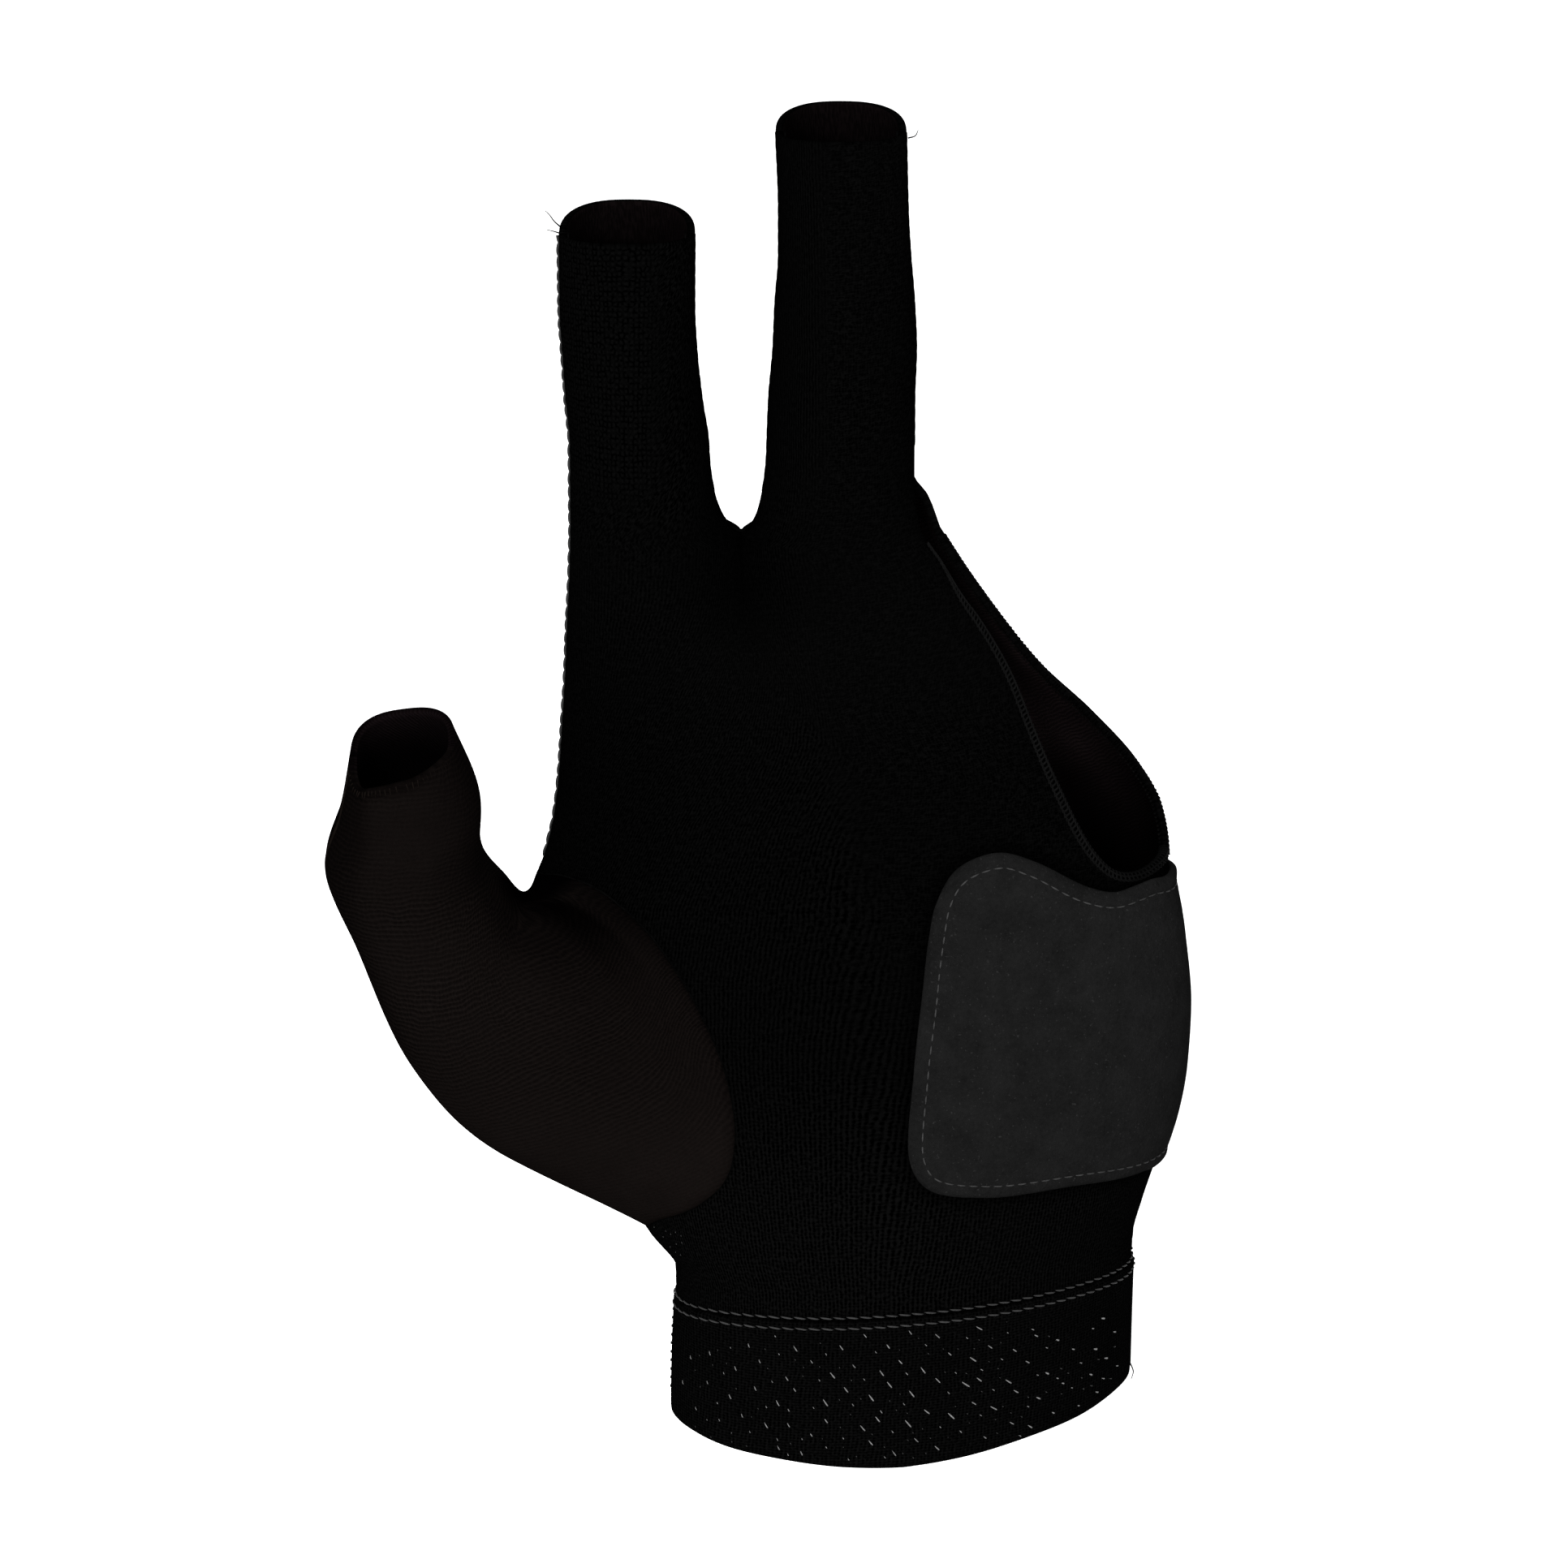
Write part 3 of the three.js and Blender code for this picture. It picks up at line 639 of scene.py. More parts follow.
def make_object(name, points, faces, materials, slots=None, cloth=None):
    """Piece that rides on the root, with a material for each face and the cloth's own coordinates."""
    mesh = bpy.data.meshes.new(name)
    face_list = faces if isinstance(faces, list) else faces.tolist()
    mesh.from_pydata((np.asarray(points) * MM).tolist(), [], face_list)
    for material in materials:
        mesh.materials.append(material)
    if slots is not None:
        mesh.polygons.foreach_set("material_index", slots)
    if cloth is not None:
        layer = mesh.attributes.new("cloth", "FLOAT_VECTOR", "POINT")
        layer.data.foreach_set("vector", np.asarray(cloth, np.float32).ravel())
    mesh.polygons.foreach_set("use_smooth", np.ones(len(mesh.polygons), bool))
    mesh.update()
    made = bpy.data.objects.new(name, mesh)
    bpy.context.scene.collection.objects.link(made)
    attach(made, "root")
    return made


# Materials

class Output:
    """Output of a node in a material. Arithmetic on it makes further nodes."""

    def __init__(self, recipe, socket):
        self.recipe = recipe
        self.socket = socket

    def __add__(self, other):
        return self.recipe.math("ADD", self, other)

    def __sub__(self, other):
        return self.recipe.math("SUBTRACT", self, other)

    def __mul__(self, other):
        return self.recipe.math("MULTIPLY", self, other)

    def __truediv__(self, other):
        return self.recipe.math("DIVIDE", self, other)

    def range(self, low, high, new_low=0.0, new_high=1.0):
        """Share of the way from low to high, as a number between two new ones."""
        inputs = dict(enumerate([self, low, high, new_low, new_high]))
        return self.recipe.node("ShaderNodeMapRange", inputs, clamp=True)

    def wave(self, period):
        """0 to 1 and back, once in each period."""
        return self.recipe.math("SINE", self * (2 * math.pi / period)).range(-1, 1)


class Recipe:
    """A material, with short names for the nodes that most materials share."""

    def __init__(self, name, roughness, specular=0.0):
        self.material = bpy.data.materials.new(name)
        self.material.use_nodes = True
        self.tree = self.material.node_tree
        self.shader = self.tree.nodes["Principled BSDF"]
        self.shade(Roughness=roughness, Specular_IOR_Level=specular, Metallic=0.0)
        coordinates = self.node("ShaderNodeTexCoord", {}, "Object")
        scaling = {0: coordinates, "Scale": 1 / MM}
        self.place = self.node("ShaderNodeVectorMath", scaling, operation="SCALE")

    def put(self, socket, value):
        if isinstance(value, Output):
            self.tree.links.new(value.socket, socket)
        else:
            socket.default_value = value

    def shade(self, **inputs):
        for key, value in inputs.items():
            self.put(self.shader.inputs[key.replace("_", " ")], value)

    def node(self, kind, inputs, output=0, **settings):
        """Output of a new node, with numbers, colours or other outputs in its inputs."""
        made = self.tree.nodes.new(kind)
        for key, value in settings.items():
            setattr(made, key, value)
        for key, value in inputs.items():
            self.put(made.inputs[key], value)
        return Output(self, made.outputs[output])

    def math(self, operation, first, second=0.0):
        return self.node("ShaderNodeMath", {0: first, 1: second}, operation=operation)

    def split(self, vector):
        parts = self.node("ShaderNodeSeparateXYZ", {0: vector})
        return [Output(self, socket) for socket in parts.socket.node.outputs]

    def cloth(self):
        """Millimetres across the cloth and along it, its shade, and all three together."""
        vector = self.node("ShaderNodeAttribute", {}, "Vector", attribute_name="cloth")
        return *self.split(vector), vector

    def noise(self, place, scale, detail=2.0, roughness=0.5):
        inputs = {"Vector": place, "Scale": scale, "Detail": detail, "Roughness": roughness}
        return self.node("ShaderNodeTexNoise", inputs)

    def stray(self, place, scale, amount):
        """Number that goes slowly to either side of nought, as yarn does."""
        return self.noise(place, scale).range(0.3, 0.7, -amount, amount)

    def plane(self, across, along):
        return self.node("ShaderNodeCombineXYZ", {0: across, 1: along})

    def cells(self, place, stray, feature):
        kind = "ShaderNodeTexVoronoi"
        inputs = {"Vector": place, "Scale": 1.0, "Randomness": stray}
        return self.node(kind, inputs, "Distance", voronoi_dimensions="2D", feature=feature)

    def blend(self, share, first, second):
        """Number between two others."""
        return self.node("ShaderNodeMix", {0: share, 2: first, 3: second}, data_type="FLOAT")

    def mix(self, share, first, second):
        """Colour between two others."""
        return self.node("ShaderNodeMix", {0: share, 6: first, 7: second}, 2, data_type="RGBA")

    def bump(self, height, depth, before=None):
        inputs = {"Strength": 1.0, "Distance": depth * MM, "Height": height}
        if before is not None:
            inputs["Normal"] = before
        return self.node("ShaderNodeBump", inputs)

    def finish(self, colour, normal):
        self.shade(Base_Color=colour, Normal=normal)
        return self.material


def grey(value):
    return (value, value, value, 1)


def strokes(recipe, across, along, turn, width, length):
    """Short strokes of yarn that lie one way, with dark pits between them."""
    cosine = math.cos(math.radians(turn))
    sine = math.sin(math.radians(turn))
    sideways = (across * cosine + along * sine) / width
    lengthways = (along * cosine - across * sine) / length
    return recipe.noise(recipe.plane(sideways, lengthways), 1.0, 1.0, 0.4).range(0.40, 0.60)


def pits(recipe, across, along, width, height, stray):
    """Lattice of small dark pits between stitches: 0 in a pit and 1 on the yarn."""
    return recipe.cells(recipe.plane(across / width, along / height), stray, "F1").range(0.16, 0.54)


def basket(recipe, across, along, width, height, stray):
    """Dark lines round small squares, as in a basket weave."""
    place = recipe.plane(across / width, along / height)
    lines = recipe.cells(place, stray, "DISTANCE_TO_EDGE").range(0.05, 0.32)
    wear_and_painted_light = recipe.noise(place, 0.9, 1.0).range(0.44, 0.58, 0.0, 0.6)
    return recipe.math("MAXIMUM", lines, wear_and_painted_light)


def finger_yarn(recipe, yarn, upright, x, across, along, wavy):
    """Other stitches on the fingers: slanted by the web, a basket weave, and upright again."""
    blend = recipe.blend
    by_web = x.range(-28, -30) * along.range(128, 140)
    slanted = strokes(recipe, across, along, turn=-40, width=0.26, length=0.85)
    yarn = blend(by_web, yarn, slanted)

    on_index = x.range(-33, -37) * along.range(136, 146)
    woven = basket(recipe, across, along, width=0.60, height=0.82, stray=0.45)
    yarn = blend(on_index, yarn, woven)

    on_middle = x.range(-10, -13) * x.range(-26, -22) * along.range(138, 148)
    return blend(on_middle, yarn, blend(0.65, upright, wavy.wave(0.48)))


def knit_material(name, dark, light):
    """Fine black knit, whose stitches turn with the stretch: upright, level or, low down, dotted."""
    recipe = Recipe(name, 0.95)
    blend = recipe.blend
    across, along, shaded, vector = recipe.cloth()
    x = recipe.split(recipe.place)[0]
    wavy = across + recipe.stray(vector, 0.6, 0.09)
    ragged = along + recipe.stray(vector, 0.9, 0.30)

    columns = (wavy + 0.25 * KNIT_PITCH).wave(KNIT_PITCH)
    upright = strokes(recipe, across, along, turn=0, width=0.22, length=0.85)
    gaps = pits(recipe, wavy, ragged, KNIT_PITCH, height=0.68, stray=0.35)
    yarn = blend(0.38, blend(0.5, upright, gaps), columns).range(0.24, 0.75)

    level = strokes(recipe, across, along, turn=102, width=0.17, length=1.2)
    gaps = pits(recipe, wavy, ragged, width=0.36, height=0.86, stray=0.6)
    level = blend(0.5, level, gaps).range(0.16, 0.84)
    levelled = (x + recipe.math("MINIMUM", along, 120.0) * 0.25).range(13, 20)
    yarn = blend(levelled, yarn, level)
    yarn = finger_yarn(recipe, yarn, upright, x, across, along, wavy)

    gaps = pits(recipe, wavy, ragged, KNIT_PITCH, height=0.62, stray=0.4)
    dotted = blend(0.50, gaps, columns).range(0.25, 0.75)
    low = (along + recipe.stray(vector, 0.06, 7.0)).range(78, 52)
    yarn = blend(low, yarn, dotted)

    calm = along.range(104, 116) * along.range(142, 130)
    contrast = recipe.noise(vector, 0.06, 1.0).range(0.36, 0.60, 0.94, 1.22)
    contrast = contrast * calm.range(0, 1, 1.0, 0.62) * levelled.range(0, 1, 1.0, 0.68) + low * 0.15
    yarn = blend(contrast, 0.54, yarn)
    fuzz = recipe.noise(recipe.place, 2.6, 3.0, 0.7).range(0.3, 0.7, 0.66, 1.26)
    # The cloth's painted shade and light darken the knit towards black
    colour = recipe.mix(shaded, BLACK, recipe.mix(yarn * fuzz, dark, light))
    return recipe.finish(colour, recipe.bump(yarn, 0.11))


def inside_material(name, dark, light, slope=None):
    """Wrong side of the knit: fine upright ribs. With a slope they are nearly level in the hand."""
    recipe = Recipe(name, 1.0)
    across, along, shaded, vector = recipe.cloth()
    ribs = (across + recipe.stray(vector, 0.4, 0.25)).wave(0.58)
    if slope is not None:
        strands = strokes(recipe, across, along, turn=4, width=0.26, length=1.6)
        level = (along - across * slope + recipe.stray(vector, 0.4, 0.25)).wave(0.58)
        ribs = recipe.blend(along.range(136, 150), level, strands)
    fuzz = recipe.noise(recipe.place, 2.4, 3.0, 0.7)
    cloud = recipe.noise(recipe.place, 0.16, 2.0, 0.6)
    light_share = (ribs * 0.34 + fuzz * 0.4 + cloud * 0.42).range(0.25, 0.9)
    colour = recipe.mix(shaded, BLACK, recipe.mix(light_share, dark, light))
    return recipe.finish(colour, recipe.bump(fuzz, 0.08, recipe.bump(ribs, 0.10)))


def thumb_material(name, dark, light):
    """Ribbed knit: ridges across the thumb, with a small break at every stitch."""
    recipe = Recipe(name, 0.9)
    across, along, shaded, vector = recipe.cloth()
    ridges = (along + recipe.stray(vector, 0.3, 0.3)).wave(0.8)
    breaks = (across + recipe.stray(vector, 0.5, 0.5)).wave(0.9)
    fuzz = recipe.noise(recipe.place, 2.2, 3.0, 0.7)
    cloud = recipe.noise(recipe.place, 0.12, 2.0, 0.6)
    inputs = {0: recipe.place, 1: CALM_SPOT}
    to_calm = recipe.node("ShaderNodeVectorMath", inputs, "Value", operation="DISTANCE")
    ribbed = recipe.split(recipe.place)[2].range(45, 60, 0.2, 1.0) * to_calm.range(4, 14, 0.15, 1.0)
    ribbed = ribbed * cloud.range(0.35, 0.6, 0.6, 1.0)
    height = (ridges + breaks * 0.35) * ribbed
    light_share = height * 0.40 + fuzz * 0.42 + ribbed.range(0.25, 1.0, 0.17, -0.05)
    light_share = (light_share * cloud.range(0.3, 0.7, 0.9, 1.1)).range(0.05, 0.8)
    # Where the cloth's painted shade is deep, the knit goes towards a dark purplish tint
    colour = recipe.mix(shaded, PAINTED_SHADE_TINT, recipe.mix(light_share, dark, light))
    return recipe.finish(colour, recipe.bump(fuzz, 0.12, recipe.bump(height, 0.16)))


def suede_material(name, dark, light, dust_and_painted_light):
    """Short brushed nap with cloudy patches, pale specks and painted light that makes it paler to the
    right.
    """
    recipe = Recipe(name, 1.0)
    cloud = recipe.noise(recipe.place, 0.22, 4.0, 0.65)
    nap = recipe.noise(recipe.place, 1.9, 4.0, 0.7)
    specks = recipe.noise(recipe.place, 2.7, 2.0, 0.5).range(0.66, 0.74)
    colour = recipe.mix((cloud * 0.6 + nap * 0.5).range(0.32, 0.78), dark, light)
    colour = recipe.mix(specks * 0.7, colour, dust_and_painted_light)
    # Painted light: paler towards the right
    colour = recipe.mix(recipe.split(recipe.place)[0].range(25, 36, 0.0, 0.05), colour, dust_and_painted_light)
    return recipe.finish(colour, recipe.bump(nap, 0.2, recipe.bump(cloud, 0.5)))


def elastic_material(name, dark, light):
    """Cuff cloth: upright columns of tight small loops over rubber."""
    recipe = Recipe(name, 0.95)
    across, along, _, vector = recipe.cloth()
    across = across + recipe.stray(vector, 0.25, 0.2)
    loops = pits(recipe, across, along, width=0.60, height=0.42, stray=0.30)
    height = recipe.blend(0.55, across.wave(0.60), loops)
    fuzz = recipe.noise(recipe.place, 2.2, 3.0, 0.7).range(0.3, 0.7, 0.6, 1.2)
    wear_and_painted_light = recipe.noise(vector, 0.10, 2.0).range(0.3, 0.7, 0.85, 1.1)
    colour = recipe.mix(height.range(0.26, 0.80) * fuzz * wear_and_painted_light, dark, light)
    return recipe.finish(colour, recipe.bump(height, 0.18))


def thread_material(name, dark, light, roughness=0.7, specular=0.1, painted_shade_right=None):
    """Spun thread: two plies and spots of wear. It may darken to the right with painted shade: from, to and
    how much.
    """
    recipe = Recipe(name, roughness, specular)
    plies = recipe.noise(recipe.place, 3.5, 2.0, 0.6)
    wear = recipe.noise(recipe.place, 0.5, 2.0, 0.6)
    colour = recipe.mix((plies * 0.6 + wear * 0.5).range(0.35, 0.75), dark, light)
    # Painted shade: darker to the right
    if painted_shade_right is not None:
        start, end, amount = painted_shade_right
        share = recipe.split(recipe.place)[0].range(start, end, 0.0, amount)
        colour = recipe.mix(share, colour, BLACK)
    return recipe.finish(colour, recipe.bump(plies, 0.08))


BLACK = grey(0)
# Colour that the thumb's painted shade goes towards
PAINTED_SHADE_TINT = (0.0001, 0.00006, 0.00008, 1)
CALM_SPOT = (-69.0, -29.0, 97.0)
MATTE = {"roughness": 0.9, "specular": 0.0}

PALM_CLOTH = knit_material("palm_knit", grey(0.00003), grey(0.00126))
BACK_CLOTH = knit_material("back_knit", grey(0.00005), grey(0.0015))
KNIT_INSIDE = inside_material(
    "knit_inside", (0.0021, 0.00146, 0.00154, 1), (0.0069, 0.00475, 0.0051, 1), slope=0.36,
)
THUMB_CLOTH = thumb_material("thumb_knit", (0.00068, 0.00053, 0.00050, 1), (0.0025, 0.00191, 0.00174, 1))
THUMB_INSIDE = inside_material("thumb_inside", (0.0007, 0.00045, 0.00048, 1), (0.0022, 0.0015, 0.0017, 1))
SUEDE = suede_material("suede", grey(0.0017), grey(0.0039), dust_and_painted_light=grey(0.009))
SUEDE_INSIDE = suede_material("suede_inside", grey(0.001), grey(0.002), dust_and_painted_light=grey(0.003))
CUFF_CLOTH = elastic_material("cuff_elastic", grey(0.00003), grey(0.00112))
EDGING_THREAD = thread_material(
    "edging_thread", grey(0.0003), grey(0.0012), roughness=0.8, specular=0.02, painted_shade_right=(30.0, 33.5, 0.9),
)
BACK_EDGING_THREAD = thread_material(
    "back_edging_thread", grey(0.0001), (0.0013, 0.00125, 0.00125, 1), **MATTE,
)
SEAM_THREAD = thread_material("seam_thread", grey(0.002), grey(0.011))
DARK_THREAD = thread_material("dark_thread", grey(0.0002), grey(0.001), **MATTE)
GATHER_THREAD = thread_material(
    "gather_thread", (0.0009, 0.0007, 0.0006, 1), (0.0032, 0.0024, 0.0021, 1), **MATTE,
)
STITCH_THREAD = thread_material("stitch_thread", grey(0.0045), grey(0.0125))
PATCH_THREAD = thread_material("patch_thread", grey(0.0045), grey(0.0125), painted_shade_right=(27.0, 35.0, 0.45))
RUBBER_THREAD = thread_material("rubber_thread", grey(0.030), grey(0.085))
# Darker copy of the rubber thread: painted shade for specks deep between the loops. The palm's flecks use
# it too.
FAINT_THREAD = thread_material("faint_thread", grey(0.004), grey(0.018))


# Cloth of the hand

def seam_limit(side, seam_y):
    """Keeps the palm and the back half a gap away from the side seams."""
    edge = seam_y + side * GAP / 2

    def limit(points):
        points = points.copy()
        y = points[:, 1]
        points[:, 1] = np.minimum(y, edge) if side < 0 else np.maximum(y, edge)
        return points

    return limit


def knit_shade(side, u, z):
    """Painted shade in hollows that little light reaches and round the patch; painted light by the cuff and
    below the fingers.
    """
    places = region_point(None, side, u, np.minimum(z, WEB_HEIGHT))
    # Painted shade in the hollow at the web between the fingers
    web = bell(np.hypot((places[:, 0] - WEB_X) / 1.4, z - 129), 7)
    # Painted light: the cloth is paler down by the cuff
    wear_and_painted_light = 0.60 + 0.32 * fall(z, 34, 62)
    if side > 0:
        return wear_and_painted_light * (1 - 0.4 * web)
    # Painted light below the fingers and up them, against a darker middle of the palm
    wear_and_painted_light = wear_and_painted_light * (0.80 + 0.18 * bell(z - 122, 16) + 0.07 * smooth(z, 135, 148))
    # Painted shade on the palm beside the thumb's seam
    by_seam = fall(places[:, 0], -45, -26) * smooth(z, 62, 74) * fall(z, 116, 138)
    wear_and_painted_light = wear_and_painted_light * (1 - 0.20 * by_seam)
    # Painted shadow round the patch
    by_patch = bell(distance_to(patch_point(*patch_outline().T), places), 1.6)
    return wear_and_painted_light * (1 - 0.5 * web - 0.5 * by_patch)


def inside_shade(u, z):
    """Painted shade inside the hand: dark down by the heel and in the fingers below their open ends."""
    by_side = smooth(u, 0.55, 0.9) * fall(z, 93, 103)
    # Painted light that lifts the shadow of the palm's edge on the back's inside
    even = 1 + 1.3 * fall(u, 0.42, 0.66) - 0.24 * bell(u - 0.73, 0.10)
    in_hand = np.interp(z, *zip(*INSIDE_LIGHT)) * (1 - 0.5 * by_side) * lerp(1, even, smooth(z, 92, 100))
    tip = np.where(u < 0, INDEX_TIP, MIDDLE_TIP)
    in_finger = np.interp(tip - z, *zip(*FINGER_LIGHT)) * np.where(u < 0, 1, 0.93)
    return lerp(np.minimum(in_hand, 1), in_finger, smooth(z, 138, 156))


def leant(x, z):
    """Sideways place of a knit column that leans from the thumb towards the fingers."""
    return -np.interp(x, *zip(*KNIT_LEAN)) * np.interp(z, *zip(*KNIT_RISE))


def quarter(width, depth):
    """Length of a quarter of an ellipse, near enough for the knit's columns."""
    return math.pi / 2 * np.sqrt((width ** 2 + depth ** 2) / 2)


def knit_place(side, u, z):
    """Millimetres across and along the knit. Columns of stitches run up into the fingers."""
    level = np.minimum(z, WEB_HEIGHT)
    width = (HAND["rightX"](level) - HAND["leftX"](level)) / 2
    centre = (HAND["rightX"](level) + HAND["leftX"](level)) / 2
    on_hand = centre + quarter(width, HAND[depth_name(side)](level)) * u
    on_hand = on_hand + leant(centre + width * np.sin(u * math.pi / 2), z)
    high = np.maximum(z, WEB_HEIGHT)
    fingers = []
    for finger, middle in ((INDEX, -1), (MIDDLE, 1)):
        outer = finger["outer"](high)
        inner = finger["inner"](high)
        depth = (finger["front"](high) + finger["back"](high)) / 2
        fingers.append((outer + inner) / 2 + quarter(np.abs(outer - inner) / 2, depth) * (2 * u - middle))
    on_finger = np.where(u < 0, *fingers) + leant(lerp(-34, 0, smooth(u, -0.4, 0.4)), z)
    across = lerp(on_hand, on_finger, smooth(z, 108, WEB_HEIGHT))
    return np.stack([across, z, knit_shade(side, u, z)], axis=1)


def thumb_ring():
    """Points of the thumb's seam: up the front of the hand and down its back."""
    halves = []
    for side, seam in ((-1, THUMB_SEAM_FRONT), (1, THUMB_SEAM_BACK)):
        x, z = np.array(seam, float).T
        halves.append(region_point(None, side, u_at(None, side, x, z), z))
    return np.concatenate(halves)


def ring_share(share):
    """The first half of the thumb's columns meets the front of the ring, the rest its back."""
    web = len(THUMB_SEAM_FRONT) / (len(THUMB_SEAM_FRONT) + len(THUMB_SEAM_BACK))
    return np.where(share < 0.5, lerp(0, web, share * 2), lerp(web, 1, share * 2 - 1))


def ring_on_hand(shares):
    """The thumb's seam ring, laid on the hand: points, and the side and the u of each."""
    x, _, z = catmull(thumb_ring(), ring_share(shares), closed=True).T
    is_front = shares < 0.5
    front_u = u_at(None, -1, x, z)
    back_u = u_at(None, 1, x, z)
    front = region_point(None, -1, front_u, z)
    back = region_point(None, 1, back_u, z)
    points = np.where(is_front[:, None], front, back)
    return points, np.where(is_front, -1, 1), np.where(is_front, front_u, back_u)


def moved_on_hand(side, u, z, direction, distance):
    """Places that are a distance away on the cloth, as u and z."""
    rise = 0.2
    across, up, span = small_steps(None, side, u, z, rise)
    across = across / span[:, None]
    up = up / (2 * rise)
    aa = np.sum(across * across, axis=1)
    ab = np.sum(across * up, axis=1)
    bb = np.sum(up * up, axis=1)
    da = np.sum(direction * across, axis=1) * distance
    db = np.sum(direction * up, axis=1) * distance
    spread = aa * bb - ab * ab
    return u + (da * bb - db * ab) / spread, z + (db * aa - da * ab) / spread


def thumb_hole(side):
    """Edge of the hole that the thumb is set into, upwards, as u and z."""
    shares = (0 if side < 0 else 0.5) + np.linspace(0, 0.5, 97)
    shares[-1] -= 1e-9
    ring, _, u = ring_on_hand(shares)
    ring = ring[::-side]
    u = u[::-side]
    z = ring[:, 2]
    ahead = unit(np.gradient(ring, axis=0))
    away = unit(np.cross(ahead, outward(None, side, u, z))) * -side
    new_u, new_z = moved_on_hand(side, u, z, away, THUMB_SEAM_GAP)
    return np.stack([np.clip(new_u, -1, 1), new_z], axis=1)


def palm_edge_line():
    """Edge of the palm beside the bare side of the hand, downwards, as u and z."""
    x, z = catmull(np.array(PALM_EDGE, float), np.linspace(0, 1, 161)).T
    u_low = u_at(None, -1, x, np.minimum(z, WEB_HEIGHT))
    u_high = u_at(MIDDLE, -1, x, np.maximum(z, WEB_HEIGHT))
    u = np.where(z > WEB_HEIGHT, u_high, u_low)
    at_side = np.flatnonzero(u < 1 - 1e-6).max() + 1
    return np.stack([u, z], axis=1)[:at_side + 1]


def edge_at_web(line):
    """The u at which the palm's edge crosses the height of the web."""
    above = line[line[:, 1] > WEB_HEIGHT][-1]
    below = line[line[:, 1] <= WEB_HEIGHT][0]
    return lerp(above[0], below[0], (above[1] - WEB_HEIGHT) / (above[1] - below[1]))


def web_side(tip):
    """Places up a finger's side from the web, close together where the web is round."""
    turn = np.linspace(0, math.pi / 2, 25)
    low = WEB_HEIGHT + WEB_SIDE_ROUND * (1 - np.cos(turn))
    high = np.linspace(low[-1], tip, int(tip - low[-1]) + 1)[1:]
    heights = np.concatenate([low, high])
    return np.stack([np.zeros(len(heights)), heights], axis=1)


def upright_line(u, start, end, count=None):
    """Places straight up or down the cloth, about one for each millimetre."""
    return np.linspace((u, start), (u, end), (count or int(abs(end - start))) + 1)


def level_line(us, height):
    """Places across the cloth at one height."""
    return np.stack([us, np.full(len(us), height)], axis=1)


def hand_outlines(side):
    """Outlines of the hand, the index finger and the middle finger, as u and z."""
    is_palm = side < 0
    edge = palm_edge_line()
    hole = thumb_hole(side)
    bottom_u = np.linspace(-1, 1, CUFF_SEAM_STEPS + 1)
    bottom = np.stack([bottom_u, cuff_level(bottom_u, CUFF_SEAM) + GAP / 2], axis=1)
    low_edge = edge[edge[:, 1] < WEB_HEIGHT - EDGE_CLEAR][::-1] if is_palm else np.zeros((0, 2))
    side_top = low_edge[0, 1] if is_palm else WEB_HEIGHT
    index_foot = np.linspace(-1, 0, FINGER_END_STEPS + 1)
    middle_foot = np.linspace(0, edge_at_web(edge) if is_palm else 1.0, FINGER_END_STEPS)
    hand = np.concatenate([
        bottom,
        upright_line(1, bottom[-1, 1], side_top)[1:-1],
        low_edge,
        level_line(np.append(index_foot, middle_foot[1:])[::-1], WEB_HEIGHT),
        upright_line(-1, WEB_HEIGHT, hole[-1, 1])[1:-1],
        hole[::-1],
        upright_line(-1, hole[0, 1], bottom[0, 1])[1:-1],
    ])
    index = np.concatenate([
        level_line(index_foot[:-1], WEB_HEIGHT),
        web_side(INDEX_TIP)[:-1],
        level_line(np.linspace(0, -1, FINGER_END_STEPS + 1)[:-1], INDEX_TIP),
        upright_line(-1, INDEX_TIP, WEB_HEIGHT, INDEX_SIDE_STEPS)[:-1],
    ])
    if is_palm:
        high_edge = edge[edge[:, 1] > WEB_HEIGHT + EDGE_CLEAR][::-1]
        middle_right = np.concatenate([high_edge, upright_line(1, MIDDLE_SIDE_FOOT, MIDDLE_TIP)[:-1]])
    else:
        middle_right = upright_line(1, WEB_HEIGHT, MIDDLE_TIP)[1:-1]
    middle = np.concatenate([
        level_line(middle_foot, WEB_HEIGHT),
        middle_right,
        level_line(np.linspace(1, 0, FINGER_END_STEPS + 1)[:-1], MIDDLE_TIP),
        web_side(MIDDLE_TIP)[:0:-1],
    ])
    return [(None, hand, HAND_U), (INDEX, index, FINGER_U), (MIDDLE, middle, FINGER_U)]


def hand_panel(side):
    """Points and triangles of one side of the hand, with the u, the z and the seam's y of each."""
    points = []
    faces = []
    places = []
    seams = []
    count = 0
    for region, outline, width in hand_outlines(side):
        scale = np.array([width, 1.0])
        flat, triangles = fill(outline * scale, CLOTH_STEP)
        u, z = (flat / scale).T
        u = np.clip(u, -1, 1)
        points.append(region_point(region, side, u, z))
        faces.append(triangles + count)
        places.append(np.stack([u, z], axis=1))
        seams.append(region_arch(region, side, u, z)[1])
        count += len(flat)
    points, faces, extra = weld(
        np.concatenate(points), np.concatenate(faces), [np.concatenate(places), np.concatenate(seams)],
    )
    return points, faces[:, ::-side], *extra


def make_hand_side(side, name, material, slot):
    points, faces, places, seam_y = hand_panel(side)
    u, z = places.T
    normals = point_normals(points, faces)
    normals[z < cuff_level(u, CUFF_SEAM) + GAP / 2 + 1e-6, 2] = 0
    cloth = knit_place(side, u, z)
    inside_cloth = cloth.copy()
    inside_cloth[:, 2] = inside_shade(u, z)
    limit = seam_limit(side, seam_y)
    wall = Cloth(
        points, faces, unit(normals), cloth, inside=-KNIT, limit=limit, inside_cloth=inside_cloth,
    )
    made = wall.make(name + "_cloth", [material, KNIT_INSIDE], name, slot)


# Thumb

